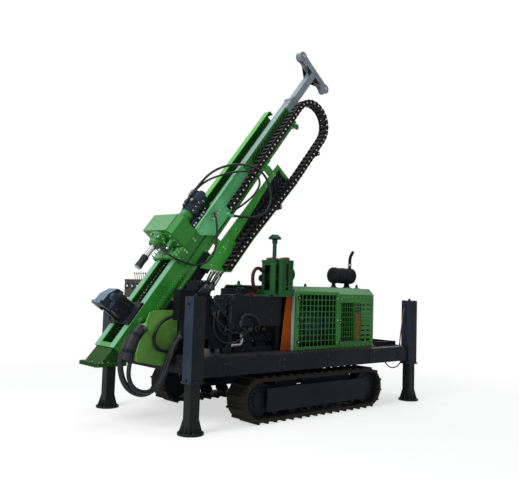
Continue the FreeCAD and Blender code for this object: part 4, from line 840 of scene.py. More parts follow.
@dataclass
class Jacks:
    """Caps, bolts, pins, ports and foot rims of the four jacks."""

    front_x: float = -1.64
    rear_x: float = 2.505
    place_y: float = 0.96
    half: float = 0.085
    top: float = 1.54

    def build(self) -> None:
        """Builds the details of each jack."""
        for end, x in (("front", self.front_x), ("rear", self.rear_x)):
            for side in SIDES:
                name = f"{end}_{SIDE_NAMES[side]}"
                self.tube(name, x, side)
                self.foot(name, x, side)

    def tube(self, name: str, x: float, side: int) -> None:
        """Cap plate, ports, mounting cheeks and pins on the outer tube."""
        shape = Shape(RIG, NAVY, DARK_BOLT, BLACK)
        y = side * self.place_y
        half = self.half
        shape.block((x - half + 0.004, y - half + 0.004, self.top - 0.016),
            (x + half - 0.004, y + half - 0.004, self.top - 0.001), 0.003)
        shape.bolts([(x + i * 0.055, y + j * 0.055, self.top - 0.001) for i in SIDES for j in SIDES], Z_AXIS, 0.01,
            1)
        shape.lathe([(0.0, 0.0), (0.0, 0.022), (0.018, 0.022), (0.02, 0.014), (0.032, 0.014), (0.034, 0.0)],
            (x, y, self.top - 0.001), Z_AXIS, 1, 14)
        inner = y - side * half
        for z in (0.655, 0.805):
            shape.bolts([(x + i * 0.105, inner - side * 0.02, z) for i in SIDES], (0, side, 0), 0.012, 1)
        for z in (0.6, 1.46):
            for i in SIDES:
                shape.rod((x + i * (half - 0.001), y, z), (x + i * (half + 0.012), y, z), 0.018, 2, 16, 0.002)
        way = 1 if x < 0 else -1
        for z in (0.95, 1.25):
            shape.lathe([(0.0, 0.0), (0.0, 0.016), (0.012, 0.016), (0.014, 0.01), (0.026, 0.01), (0.028, 0.0)],
                (x + way * (half - 0.001), y, z), (way, 0, 0), 1, 12)
        shape.done(f"jack_fittings_{name}", "base")

    def foot(self, name: str, x: float, side: int) -> None:
        """Rim, ribs and bolts on the jack's foot."""
        shape = Shape(RIG, LEG, DARK_BOLT)
        y = side * self.place_y
        for step in range(8):
            turn = placed((x, y, 0.0), math.tau * (step + 0.5) / 8, "Z")
            shape.plate([(0.088, 0.027), (0.136, 0.027), (0.09, 0.105), (0.078, 0.105)], -0.005, 0.01, Plane.SIDE,
                0.0015, 0, turn)
        shape.bolts([(x + c, y + s, 0.026) for c, s in circle(8, 0.118)], Z_AXIS, 0.009, 1)
        shape.lathe([(0.0, 0.0), (0.0, 0.15), (0.006, 0.152), (0.02, 0.152), (0.026, 0.148), (0.0265, 0.0)],
            (x, y, 0.0), Z_AXIS, 0, 40)
        shape.done(f"jack_foot_rim_{name}", f"jack_leg_{name}")


@dataclass
class Deck:
    """Bolts, stiffeners and edge strip of the deck frame."""

    side_y: float = 1.01
    top: float = 0.83

    def build(self) -> None:
        """Builds both edges and the rear rail."""
        for side in SIDES:
            self.edge(side)
        self.rail()

    def edge(self, side: int) -> None:
        """Bolts and end plates on one long beam."""
        shape = Shape(RIG, BLACK, DARK_BOLT)
        name = SIDE_NAMES[side]
        low, high = span_y(side, self.side_y, self.side_y + 0.006)
        for x in (-1.18, -0.3, 0.62, 1.52, 2.2):
            shape.block((x - 0.055, low, 0.66), (x + 0.055, high, 0.79), 0.002)
            shape.bolts([(x + i * 0.035, side * (self.side_y + 0.006), z) for i in SIDES for z in (0.685, 0.765)],
                (0, side, 0), 0.011, 1)
        low, high = span_y(side, 0.955, self.side_y)
        shape.block((-1.54, low, self.top), (2.36, high, self.top + 0.006), 0.002)
        low, high = span_y(side, 0.985, 1.009)
        for x in (-1.35, -0.72, 0.05):
            shape.block((x, low, 0.836), (x + 0.05, high, 0.868), 0.003)
        shape.done(f"deck_edge_{name}", "base")

    def rail(self) -> None:
        """Raised rail and step behind the canopy."""
        shape = Shape(RIG, BLACK, DARK_BOLT)
        for side in SIDES:
            low, high = span_y(side, 0.78, 0.8)
            shape.block((1.84, low, DECK_TOP), (2.38, high, 0.905), 0.003)
            low, high = span_y(side, 0.8, 0.86)
            shape.block((1.84, low, DECK_TOP), (2.38, high, 0.846), 0.002)
            shape.bolts([(1.9 + i * 0.11, side * 0.83, 0.846) for i in range(5)], Z_AXIS, 0.009, 1)
        shape.block((2.32, -0.78, DECK_TOP), (2.34, 0.78, 0.905), 0.003)
        shape.done("deck_rail", "base")


@dataclass
class Mast:
    """Bolts, feed chain, stops and small parts on the mast beam."""

    half: float = 0.23

    def build(self) -> None:
        """Builds the mast's details."""
        self.flanges()
        self.feed_chain()
        self.side_parts()
        self.foot()

    def flanges(self) -> None:
        """Rows of bolts, seams and end plates on the front flanges."""
        shape = Shape(MAST, GREEN, ZINC)
        for side in SIDES:
            low, high = span_y(side, self.half + 0.0005, self.half + 0.007)
            shape.block((0.02, low, -0.29), (4.29, high, -0.262), 0.002)
            for step in range(14):
                u = 0.2 + step * 0.305
                shape.bolt((u, side * (self.half + 0.007), -0.276), (0, side, 0), 0.009, 1)
            for u in (0.75, 2.15, 3.55):
                shape.plate([(u, -0.262), (u + 0.1, -0.262), (u + 0.05, -0.155)], low if side < 0 else high - 0.006,
                    0.006, Plane.SIDE, 0.0015)
        shape.block((4.298, -0.225, -0.285), (4.312, 0.225, -0.245), 0.003)
        shape.block((4.298, -0.225, -0.075), (4.312, -0.1, -0.002), 0.003)
        shape.block((4.298, 0.1, -0.075), (4.312, 0.225, -0.002), 0.003)
        shape.bolts([(4.312, side * y, -0.04) for side in SIDES for y in (0.14, 0.19)], X_AXIS, 0.01, 1)
        shape.done("mast_bolts", "mast")

    def feed_chain(self) -> None:
        """Roller chain, cylinder and its clamps inside the mast's slot."""
        shape = Shape(MAST, ENGINE, BLACK, STEEL)
        for lane in SIDES:
            y = lane * 0.088
            for step in range(48):
                u = 0.22 + step * 0.0445
                shape.block((u, y - 0.014, -0.084), (u + 0.04, y - 0.008, -0.056), 0.004)
                shape.block((u, y + 0.008, -0.084), (u + 0.04, y + 0.014, -0.056), 0.004)
                shape.rod((u + 0.009, y - 0.016, -0.07), (u + 0.009, y + 0.016, -0.07), 0.008, 2, 8)
        shape.rod((0.3, 0.0, -0.195), (1.55, 0.0, -0.195), 0.045, 1, 20, 0.004)
        shape.rod((1.55, 0.0, -0.195), (2.36, 0.0, -0.195), 0.024, 2, 16)
        for u in (0.42, 1.45):
            shape.block((u, -0.065, -0.286), (u + 0.06, 0.065, -0.15), 0.006, 1)
        shape.done("feed_chain", "mast")

    def side_parts(self) -> None:
        """Boss, plates and gussets on the beam's sides."""
        shape = Shape(MAST, GREEN, DARK_BOLT, ENGINE, BRIGHT_GREEN)
        for side in SIDES:
            face = side * self.half
            shape.lathe([(0.0, 0.0), (0.0, 0.052), (0.012, 0.052), (0.016, 0.036), (0.02, 0.036), (0.022, 0.0)],
                (0.45, face, -0.107), (0, side, 0), 0, 28)
            shape.bolt((0.45, side * (self.half + 0.021), -0.107), (0, side, 0), 0.014, 1)
            low, high = sorted((face, side * (self.half + 0.006)))
            for u in (2.02, 2.62):
                shape.block((u, low, -0.2), (u + 0.14, high, -0.06), 0.003)
                shape.bolts([(u + 0.03 + i * 0.08, side * (self.half + 0.006), v) for i in range(2)
                    for v in (-0.175, -0.085)], (0, side, 0), 0.009, 1)
            shape.rod((1.36, face + side * 0.007, -0.15), (2.0, face + side * 0.007, -0.15), 0.007, 2, 8)
            shape.block((0.6, low, -0.19), (1.32, high, -0.168), 0.002, 3)
            for step in range(26):
                shape.block((0.606 + step * 0.0275, low, -0.236), (0.62 + step * 0.0275, high, -0.19), 0.002,
                    3 if step % 2 else 2)
        shape.done("mast_side_plates", "mast")

    def foot(self) -> None:
        """Bolts on the mast's foot plate."""
        shape = Shape(RIG, GREEN, ZINC)
        shape.bolts([(x, y, 0.745) for y in (-0.195, 0.195) for x in (-2.36, -2.29)], Z_AXIS, 0.012, 1)
        shape.bolts([(-2.385, y, 0.745) for y in (-0.16, 0.0, 0.16)], Z_AXIS, 0.01, 1)
        shape.done("mast_foot_bolts", "mast")


@dataclass
class Head:
    """Rotation head: bolts, chuck rings, motor ports and valve block."""

    gear_low: float = 1.52
    gear_high: float = 1.795
    drill_v: float = 0.256
    motor_y: float = -0.135
    motor_v: float = 0.205

    def build(self) -> None:
        """Builds the head's details."""
        self.case()
        self.chuck()
        self.motor()
        self.ports()

    def case(self) -> None:
        """Cover plates, seams and bolts of the gearbox and carriage."""
        shape = Shape(MAST, GREEN, ZINC, BRIGHT_GREEN)
        top = self.gear_high
        shape.plate([(-0.262, 0.055), (0.262, 0.055), (0.262, 0.355), (-0.205, 0.322), (-0.262, 0.276)],
            top - 0.001, 0.01, Plane.END, 0.003, 0)
        spots = ((-0.24, 0.072), (-0.02, 0.072), (0.12, 0.072), (0.24, 0.072), (-0.02, 0.325), (0.1, 0.325),
            (0.23, 0.325), (0.24, 0.14), (0.24, 0.23))
        shape.bolts([(top + 0.009, y, v) for y, v in spots], X_AXIS, 0.011, 1)
        shape.plate([(-0.24, 0.06), (0.24, 0.06), (0.24, 0.33), (-0.19, 0.3), (-0.24, 0.26)], self.gear_low - 0.008,
            0.009, Plane.END, 0.003, 0)
        shape.bolts([(self.gear_low - 0.008, y, v) for y in (-0.21, 0.21) for v in (0.09, 0.17, 0.25)], MINUS_X,
            0.011, 1)
        for u in (1.345, 1.865):
            shape.bolts([(u, y, 0.038) for y in (-0.235, -0.17, 0.17, 0.235)], Z_AXIS, 0.012, 1)
        for side in SIDES:
            shape.bolts([(u, side * 0.262, v) for u in (1.36, 1.5, 1.7, 1.86) for v in (-0.045, -0.005)],
                (0, side, 0), 0.01, 1)
            low = min(span_y(side, 0.246, 0.256))
            for u in (1.345, 1.4, 1.455, 1.835):
                shape.plate([(u, 0.038), (u + 0.012, 0.038), (u + 0.012, 0.1), (u, 0.065)], low, 0.01, Plane.SIDE,
                    0.002, 0)
        shape.block((1.335, -0.2, 0.036), (1.5, 0.2, 0.052), 0.003, 2)
        shape.done("head_bolts", "head")

    def chuck(self) -> None:
        """Chuck housing with its ports round the spindle."""
        shape = Shape(MAST, GREEN, ZINC, STEEL)
        low = self.gear_low
        spot = (low, 0.0, self.drill_v)
        shape.lathe([(-0.03, 0.0501), (-0.03, 0.118), (-0.052, 0.118), (-0.056, 0.094), (-0.1, 0.094),
            (-0.104, 0.082), (-0.15, 0.082), (-0.158, 0.07), (-0.172, 0.07), (-0.172, 0.0501), (-0.03, 0.0501)],
            spot, X_AXIS, 0, 40)
        shape.bolts([(low - 0.052, c, self.drill_v + s) for c, s in circle(10, 0.107)], MINUS_X, 0.009, 1)
        u = low - 0.078
        for y, v in circle(6, 0.09, 0.4):
            shape.rod((u, y, self.drill_v + v), (u, y * 1.28, self.drill_v + v * 1.28), 0.02, 0, 12, 0.003)
            shape.bolt((u, y * 1.27, self.drill_v + v * 1.27), (0, y, v), 0.011, 1)
        for y in (-0.145, 0.145):
            shape.rod((low - 0.1, y, 0.155), (low, y, 0.155), 0.034, 0, 18, 0.004)
            shape.rod((low - 0.135, y, 0.155), (low - 0.1, y, 0.155), 0.018, 2, 12, 0.002)
        shape.done("chuck_housing", "head")
        collar = Shape(MAST, STEEL, ENGINE)
        collar.lathe([(1.0, 0.0421), (1.0, 0.046), (1.008, 0.0475), (1.05, 0.0475), (1.056, 0.0445), (1.12, 0.0445),
            (1.124, 0.047), (1.172, 0.047), (1.18, 0.0421), (1.0, 0.0421)], (0.0, 0.0, self.drill_v), X_AXIS, 1, 32)
        collar.done("spindle_collar", "spindle")

    def motor(self) -> None:
        """Flange bolts, ribs and end cover of the drive motor."""
        shape = Shape(MAST, MOTOR, DARK_BOLT, PUMP, GREEN, ZINC)
        y, v, u = self.motor_y, self.motor_v, self.gear_high
        shape.lathe([(0.001, 0.1), (0.001, 0.1085), (0.048, 0.1085), (0.056, 0.1), (0.06, 0.089), (0.15, 0.089),
            (0.156, 0.082), (0.06, 0.08), (0.001, 0.1)], (u, y, v), X_AXIS, 3, 32)
        shape.bolts([(u + 0.055, y + c, v + s) for c, s in circle(8, 0.09, 0.5)], X_AXIS, 0.01, 1)
        for step in range(6):
            place = u + 0.185 + step * 0.038
            shape.band(0.09, 0.101, 0.012, (place, y, v), X_AXIS, 0, 28)
        shape.lathe([(0.0, 0.0), (0.0, 0.052), (0.01, 0.052), (0.016, 0.044), (0.03, 0.044), (0.034, 0.0)],
            (u + 0.505, y, v), X_AXIS, 0, 24)
        shape.bolts([(u + 0.485, y + c, v + s) for c, s in circle(6, 0.077)], X_AXIS, 0.008, 1)
        shape.block((1.812, -0.258, 0.062), (1.93, -0.18, 0.128), 0.006, 2)
        shape.block((1.94, -0.258, 0.062), (2.1, -0.19, 0.118), 0.006, 2)
        for place in (1.84, 1.88, 1.965, 2.02, 2.07):
            shape.rod((place, -0.266, 0.092), (place, -0.232, 0.092), 0.015, 4, 6)
        shape.rod((1.955, -0.228, 0.165), (2.175, -0.228, 0.172), 0.04, 2, 22, 0.006)
        shape.rod((2.172, -0.228, 0.172), (2.19, -0.228, 0.172), 0.026, 4, 6)
        for place in (1.99, 2.06, 2.13):
            shape.rod((place, -0.228, 0.205), (place, -0.228, 0.228), 0.014, 4, 6)
            shape.band(0.04, 0.045, 0.01, (place, -0.228, 0.168), X_AXIS, 0, 24)
        for place, lift in ((0.215, 0.0), (0.3, 0.6), (0.38, -0.5), (0.3, -1.2)):
            way = Vector((0.0, -math.sin(lift), math.cos(lift)))
            start = Vector((u + place, y, v)) + way * 0.09
            shape.rod(tuple(start), tuple(start + way * 0.032), 0.034, 0, 18, 0.005)
            shape.rod(tuple(start + way * 0.03), tuple(start + way * 0.042), 0.018, 4, 6)
        shape.done("motor_ribs", "head")

    def ports(self) -> None:
        """Fittings on the motor's port and on the bracket."""
        shape = Shape(MAST, ZINC, PUMP, LINKS)
        shape.block((2.42, -0.2795, -0.2285), (2.985, -0.2762, -0.16), 0.0, 2)
        for place in (2.175, 2.225):
            shape.rod((place, self.motor_y, 0.338), (place, self.motor_y, 0.36), 0.019, 0, 6)
        shape.rod((2.06, self.motor_y, 0.28), (2.04, self.motor_y, 0.28), 0.036, 1, 20, 0.004)
        for u in (2.07, 2.12, 2.17, 2.22):
            shape.rod((u, -0.277, -0.035), (u, -0.318, -0.035), 0.016, 0, 6)
            shape.rod((u, -0.318, -0.035), (u, -0.35, -0.035), 0.013, 0, 12)
        shape.bolts([(u, -0.277, v) for u in (1.86, 2.35, 2.9) for v in (-0.03, 0.035)], MINUS_Y, 0.01, 0)
        shape.done("bracket_fittings", "head")


@dataclass
class RodClamp:
    """Rings, jaw cylinders and bolts of the rod clamp."""

    drum_u: float = 0.478

    def build(self) -> None:
        """Builds the clamp's details."""
        shape = Shape(MAST, PUMP, DARK_BOLT, CLAMP_BLUE, ENGINE)
        for v in (0.035, 0.095, 0.15, 0.18):
            shape.band(0.108, 0.124, 0.014, (self.drum_u, 0.0, v), Z_AXIS, 0, 36)
        for side in SIDES:
            shape.rod((self.drum_u, side * 0.107, 0.325), (self.drum_u, side * 0.15, 0.325), 0.052, 2, 26, 0.006)
            shape.rod((self.drum_u, side * 0.149, 0.325), (self.drum_u, side * 0.158, 0.325), 0.036, 3, 20, 0.002)
            shape.bolts([(self.drum_u + c, side * 0.15, 0.325 + s) for c, s in circle(6, 0.043)], (0, side, 0),
                0.007, 1)
            low = min(span_y(side, 0.108, 0.113))
            shape.plate([(0.345, 0.262), (0.592, 0.262), (0.592, 0.285), (0.56, 0.3), (0.4, 0.3), (0.345, 0.285)],
                low, 0.005, Plane.SIDE, 0.002, 2)
            shape.bolts([(u, side * 0.113, 0.272) for u in (0.362, 0.575)], (0, side, 0), 0.009, 1)
            shape.bolts([(u, side * 0.2, 0.0285) for u in (0.335, 0.47, 0.615)], Z_AXIS, 0.012, 1)
            for u in (0.39, 0.57):
                shape.rod((u, side * 0.095, 0.2), (u, side * 0.122, 0.2), 0.017, 1, 6)
        shape.done("clamp_rings", "mast")


@dataclass
class DragChain:
    """Drag chain of open links with studs, hose pack, end brackets and keepers."""

    pitch: float = 0.082
    near_y: float = -0.405
    far_y: float = -0.285
    bend_u: float = 4.392
    upper_v: float = -0.123
    radius: float = 0.317
    start_u: float = 3.0
    lower: tuple[tuple[float, float], ...] = ((3.6, -0.748), (2.3, -0.635), (1.7, -0.62))

    def line(self) -> list[Vector]:
        """Middle line of the chain as points in U and V."""
        points = [Vector((self.start_u, self.upper_v)), Vector((self.bend_u, self.upper_v))]
        for step in range(1, 25):
            a = math.pi / 2 - math.pi * step / 24
            points.append(Vector((self.bend_u + self.radius * math.cos(a),
                self.upper_v - self.radius + self.radius * math.sin(a))))
        return points + [Vector(point) for point in self.lower]

    @staticmethod
    def turned(spot: Vector, way: Vector) -> Matrix:
        """Axes of a link at a point in U and V, with its length along a direction."""
        return Matrix(((way.x, 0, -way.y, spot.x), (0, 1, 0, 0), (way.y, 0, way.x, spot.y), (0, 0, 0, 1)))

    def stations(self) -> list[tuple[Vector, Vector]]:
        """Place and direction of every link's first joint.

        Returns:
            Pairs of a point and a unit direction in U and V.
        """
        points = self.line()
        total = sum((b - a).length for a, b in zip(points, points[1:]))
        found = []
        for link in range(int(total // self.pitch) + 1):
            left = link * self.pitch
            for start, end in zip(points, points[1:]):
                run = (end - start).length
                if left <= run:
                    found.append((start.lerp(end, left / run), (end - start).normalized()))
                    break
                left -= run
        return found

    def build(self) -> None:
        """Builds the chain in place of its plain solid, and its tray's trim."""
        shape = Shape(MAST, LINKS, RIB, STUD, HOSE)
        places = self.stations()
        for (here, _), (there, _) in zip(places, places[1:]):
            along = (there - here).normalized()
            self.link(shape, self.turned((here + there) / 2, along))
        link = shape.done("drag_chain_links", "mast")
        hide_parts("drag_chain")
        self.keepers()
        self.tray()
        self.liner()
        self.tail()

    def link(self, shape: Shape, place: Matrix) -> None:
        """One link: side plates, two cross bars, studs and its stretch of the hose pack."""
        p = self.pitch / 2
        half = [(-p * 1.05, 0.034), (-p * 0.8, 0.043), (p * 0.72, 0.043), (p * 0.9, 0.03)]
        outline = [(a, -v) for a, v in half] + half[::-1]
        shape.plate(outline, self.near_y, 0.01, Plane.SIDE, 0.0, 0, place)
        shape.plate(outline, self.far_y - 0.01, 0.01, Plane.SIDE, 0.0, 0, place)
        for out in SIDES:
            low, high = span_y(out, 0.037, 0.046)
            shape.block((-0.016, self.near_y - 0.001, low), (0.014, self.far_y + 0.001, high), 0.002, 1, place)
        spot = place @ Vector((-p * 0.9, self.near_y + 0.001, 0.0))
        shape.rod(tuple(spot), (spot.x, spot.y - 0.005, spot.z), 0.012, 2, 8)
        for y in (-0.378, -0.352, -0.326):
            start, end = place @ Vector((-p, y, 0.0)), place @ Vector((p, y, 0.0))
            shape.rod(tuple(start), tuple(end), 0.011, 3, 6)

    def tail(self) -> None:
        """Half links that guide the hoses down beside the head's bracket."""
        shape = Shape(MAST, LINKS, RIB, STUD)
        inner, middle = -0.346, self.upper_v
        for step in range(8):
            u = self.start_u - (step + 0.5) * self.pitch
            half = [(u - 0.043, 0.034), (u - 0.033, 0.043), (u + 0.03, 0.043), (u + 0.037, 0.03)]
            outline = [(a, middle - v) for a, v in half] + [(a, middle + v) for a, v in half[::-1]]
            shape.plate(outline, self.near_y, 0.01, Plane.SIDE, 0.0)
            shape.plate(outline, inner - 0.006, 0.006, Plane.SIDE, 0.0)
            for out in SIDES:
                low, high = sorted((middle + out * 0.037, middle + out * 0.046))
                shape.block((u - 0.016, self.near_y - 0.001, low), (u + 0.014, inner, high), 0.002, 1)
            shape.rod((u - 0.037, self.near_y + 0.001, middle), (u - 0.037, self.near_y - 0.004, middle), 0.012, 2,
                8)
        shape.done("chain_guide_links", "mast")

    def liner(self) -> None:
        """Ribbed black liner in the tray, beside the chain's lower run, and on the mast beside its upper run."""
        shape = Shape(MAST, LINKS, RIB)
        near, far = self.near_y + 0.004, self.far_y - 0.001
        rest = [(here, way) for here, way in self.stations() if here.y < -0.6 and 2.02 < here.x < 3.44]
        for here, way in rest:
            turn = self.turned(here, way)
            shape.block((-0.041, near, -0.062), (0.041, far, -0.058), 0.0, 0, turn)
            shape.block((-0.014, near, -0.074), (0.01, far, -0.061), 0.002, 1, turn)
            shape.block((-0.041, near, -0.078), (0.041, near + 0.006, -0.06), 0.0, 0, turn)
        shape.plate([(2.12, -0.52), (3.44, -0.47), (3.44, -0.69), (2.3, -0.6), (2.12, -0.592)], -0.2885, 0.0035,
            Plane.SIDE, 0.0)
        for step in range(30):
            u = 2.135 + step * 0.0425
            top, bottom = -0.528 + (u - 2.12) * 0.038, -0.585 - max(0.0, u - 2.3) * 0.085
            slope = placed((u + 0.02, -0.2905, (top + bottom) / 2), math.radians(38), "Y")
            reach = (top - bottom) * 0.6
            shape.block((-0.007, -0.0035, -reach), (0.007, 0.003, reach), 0.001, step % 2, slope)
        for step in range(26):
            slope = placed((3.225 + step * 0.041, -0.2515, -0.075), math.radians(40), "Y")
            shape.block((-0.008, -0.003, -0.072), (0.008, 0.003, 0.072), 0.001, step % 2, slope)
        shape.done("tray_liner", "mast")

    def keepers(self) -> None:
        """Clamps, keeper rollers and end plates of the chain."""
        shape = Shape(MAST, BLACK, ZINC, GREEN, STEEL)
        for u, v in ((4.128, -0.84), (2.965, -0.79)):
            shape.rod((u, -0.402, v + 0.03), (u, -0.425, v + 0.03), 0.03, 0, 18, 0.004)
            shape.rod((u, -0.425, v + 0.03), (u, -0.432, v + 0.03), 0.014, 1, 6)
            shape.block((u - 0.05, -0.412, v + 0.02), (u + 0.05, -0.285, v + 0.034), 0.003, 0)
        shape.block((4.205, -0.242, -0.345), (4.245, -0.215, -0.23), 0.004, 2)
        shape.rod((4.225, -0.262, -0.325), (4.225, -0.19, -0.325), 0.034, 3, 24, 0.004)
        shape.rod((4.225, -0.27, -0.325), (4.225, -0.262, -0.325), 0.045, 2, 24, 0.002)
        shape.done("chain_keepers", "mast")

    def tray(self) -> None:
        """Rivets and stiffening strips on the chain's tray."""
        shape = Shape(MAST, BRIGHT_GREEN, ZINC)
        shape.bolts([(1.62 + i * 0.21, -0.2847, -0.43 - 0.0035 * i) for i in range(9)], MINUS_Y, 0.008, 1)
        shape.plate([(1.6, -0.362), (3.45, -0.438), (3.45, -0.426), (1.6, -0.35)], -0.288, 0.0035, Plane.SIDE, 0.0)
        for u in (1.93, 3.33):
            shape.bolts([(u, -0.2847, v) for v in (-0.47, -0.43)], MINUS_Y, 0.011, 1)
        shape.done("tray_rivets", "mast")


@dataclass
class Crown:
    """Bolts, gussets and sheaves of the crown, and its sleeve's collars."""

    sheave_u: float = 5.395
    middle_v: float = -0.165
    reach: float = 0.325

    def build(self) -> None:
        """Builds the crown's details."""
        shape = Shape(MAST, CROWN, ZINC, BLACK)
        for side in SIDES:
            low, high = span_y(side, 0.05, 0.058)
            gusset = [(self.sheave_u - 0.165, self.middle_v - 0.052),
                (self.sheave_u - 0.052, self.middle_v - 0.052), (self.sheave_u - 0.052, self.middle_v - 0.2)]
            shape.plate(gusset, low, 0.008, Plane.SIDE, 0.002, 2)
            mirrored = [(u, 2 * self.middle_v - v) for u, v in gusset]
            shape.plate(mirrored[::-1], low, 0.008, Plane.SIDE, 0.002, 2)
            for end in SIDES:
                shape.bolt((self.sheave_u, side * 0.05, self.middle_v + end * self.reach), (0, side, 0), 0.024, 1)
            shape.bolts([(self.sheave_u + i * 0.035, side * 0.05, self.middle_v + j * 0.12) for i in SIDES
                for j in SIDES], (0, side, 0), 0.01, 1)
        shape.done("crown_gussets", "crown")
        for key, sign in (("rear", -1), ("front", 1)):
            wheel = Shape(MAST, CROWN)
            wheel.lathe([(-0.026, 0.0162), (-0.026, 0.071), (-0.017, 0.071), (-0.01, 0.064), (0.01, 0.064),
                (0.017, 0.071), (0.026, 0.071), (0.026, 0.0162), (-0.026, 0.0162)],
                (self.sheave_u, 0.0, self.middle_v + sign * self.reach), Y_AXIS, 0, 40)
            item = wheel.done(f"sheave_wheel_{key}", f"sheave_{key}")
            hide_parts(f"crown_sheave_{key}")
        collar = Shape(MAST, CROWN, ZINC)
        for u in (2.42, 4.64):
            for left, low, right, high in ((-0.088, -0.248, -0.0805, -0.082), (0.0805, -0.248, 0.088, -0.082),
                    (-0.088, -0.0895, 0.088, -0.082), (-0.088, -0.248, 0.088, -0.2405)):
                collar.block((u, left, low), (u + 0.05, right, high), 0.002)
            collar.bolts([(u + 0.025, y, -0.082) for y in (-0.05, 0.05)], Z_AXIS, 0.009, 1)
        collar.done("crown_sleeve_collars", "mast")


@dataclass
class Canopy:
    """Hinges, latches, hoods, rivets and seals of the engine canopy."""

    rear_x: float = 1.81
    side_y: float = 0.797
    top: float = 1.7

    def build(self) -> None:
        """Builds the canopy's details."""
        for side in SIDES:
            self.door(side)
            self.side(side)
        self.roof()

    def door(self, side: int) -> None:
        """Latch, pull and corner bolts of one mesh door."""
        name = SIDE_NAMES[side]
        shape = Shape(RIG, BLACK, ZINC)
        face = side * 0.831
        low, high = sorted((face, face + side * 0.012))
        for z in (0.93, 1.52):
            shape.block((0.142, low, z), (0.172, high, z + 0.05), 0.003, 0)
            shape.rod((0.157, high if side > 0 else low, z + 0.025), (0.157, face + side * 0.02, z + 0.025), 0.009,
                1, 12, 0.002)
        shape.pipe([(0.15, face, 1.16), (0.15, face + side * 0.03, 1.17), (0.15, face + side * 0.034, 1.22),
            (0.15, face + side * 0.03, 1.27), (0.15, face, 1.28)], 0.006, 0)
        shape.bolts([(0.952, face, z) for z in (0.93, 1.24, 1.55)], (0, side, 0), 0.008, 1)
        shape.done(f"door_latch_{name}", f"door_{name}")

    def side(self, side: int) -> None:
        """Hinge leaves, louvre hoods, rivets and the seal strip of one side."""
        name = SIDE_NAMES[side]
        shape = Shape(RIG, GREEN, ZINC, BLACK, CROWN, ORANGE)
        face = side * self.side_y
        low, high = sorted((face, face + side * 0.005))
        for z in (0.898, 1.178, 1.478):
            shape.block((1.018, low, z), (1.066, high, z + 0.08), 0.002, 2)
            shape.bolts([(1.05, face + side * 0.005, z + 0.02 + i * 0.04) for i in range(2)], (0, side, 0), 0.008,
                1)
        for column in range(2):
            for row in range(8):
                x, z = self.rear_x - 0.29 + 0.125 * column, 1.028 + row * 0.0663
                tilt = placed((x + 0.045, face, z), side * math.radians(32), "X")
                shape.block((-0.045, min(0, side * 0.003) - 0.001, -0.002),
                    (0.045, max(0, side * 0.003) + 0.001, 0.028), 0.001, 0, tilt)
        rivets = [(1.12 + i * 0.093, face, z) for i in range(8) for z in (1.575, 0.872)]
        rivets += [(1.785, face, 0.93 + i * 0.12) for i in range(6)]
        shape.bolts(rivets, (0, side, 0), 0.006, 1)
        # A window drawn on the skin: a black sheet that paints the shade inside the canopy, an orange patch for the
        # shroud behind, and green bars over both.
        skin = face + side * 0.0012
        for low, high, thick, finish in (((1.378, 0.926), (1.515, 1.49), 0.0015, 2),
                ((1.384, 0.95), (1.49, 1.33), 0.0025, 4)):
            near, far = sorted((skin - side * 0.0015, skin + side * thick))
            shape.block((low[0], near, low[1]), (high[0], far, high[1]), 0.0, finish)
        near, far = sorted((skin, skin + side * 0.006))
        for i in range(4):
            shape.block((1.388 + i * 0.04, near, 0.926), (1.396 + i * 0.04, far, 1.49), 0.0)
        for i in range(13):
            shape.block((1.378, near, 0.93 + i * 0.0455), (1.515, far, 0.938 + i * 0.0455), 0.0)
        low, high = span_y(side, 0.745, 0.795)
        shape.block((0.108, low, 0.842), (0.126, high, 1.62), 0.003, 3)
        shape.bolts([(0.108, side * 0.77, 0.9 + i * 0.165) for i in range(5)], MINUS_X, 0.007, 1)
        shape.done(f"canopy_trim_{name}", "base")

    def roof(self) -> None:
        """Roof seams, lifting eyes, cap and flanges under the muffler."""
        shape = Shape(RIG, GREEN, ZINC, SOOT, BLACK)
        for x in (0.99, 1.4):
            shape.block((x, -0.7, self.top), (x + 0.022, 0.7, self.top + 0.007), 0.002)
        for x, y in ((0.25, -0.55), (0.25, 0.55), (1.7, -0.55), (1.7, 0.55)):
            shape.block((x - 0.045, y - 0.03, self.top), (x + 0.045, y + 0.03, self.top + 0.008), 0.002)
            shape.plate([(x - 0.032, self.top + 0.006), (x + 0.032, self.top + 0.006), (x + 0.02, self.top + 0.062),
                (x - 0.02, self.top + 0.062)], y - 0.006, 0.012, Plane.SIDE, 0.002)
            shape.rod((x, y - 0.0075, self.top + 0.036), (x, y + 0.0075, self.top + 0.036), 0.013, 3, 18)
        for x, radius in ((1.292, 0.03), (1.593, 0.042)):
            shape.lathe([(0.0, radius + 0.001), (0.0, radius + 0.034), (0.01, radius + 0.034),
                (0.012, radius + 0.01), (0.03, radius + 0.008), (0.03, radius + 0.001), (0.0, radius + 0.001)],
                (x, -0.44, self.top), Z_AXIS, 2, 28)
            shape.bolts([(x + c, -0.44 + s, self.top + 0.01) for c, s in circle(4, radius + 0.022, 0.5)], Z_AXIS,
                0.007, 1)
        shape.lathe([(0.0, 0.0), (0.0, 0.052), (0.02, 0.052), (0.026, 0.06), (0.052, 0.06), (0.06, 0.05),
            (0.062, 0.0)], (0.66, 0.2, self.top), Z_AXIS, 3, 28)
        shape.block((1.806, -0.62, 1.05), (1.814, 0.62, 1.55), 0.002, 3)
        for i in range(12):
            shape.block((1.812, -0.6, 1.07 + i * 0.039), (1.822, 0.6, 1.085 + i * 0.039), 0.002, 0)
        shape.bolts([(1.81, y, z) for y in (-0.75, -0.4, 0.0, 0.4, 0.75) for z in (0.88, 1.59)], X_AXIS, 0.008, 1)
        shape.done("canopy_roof", "base")


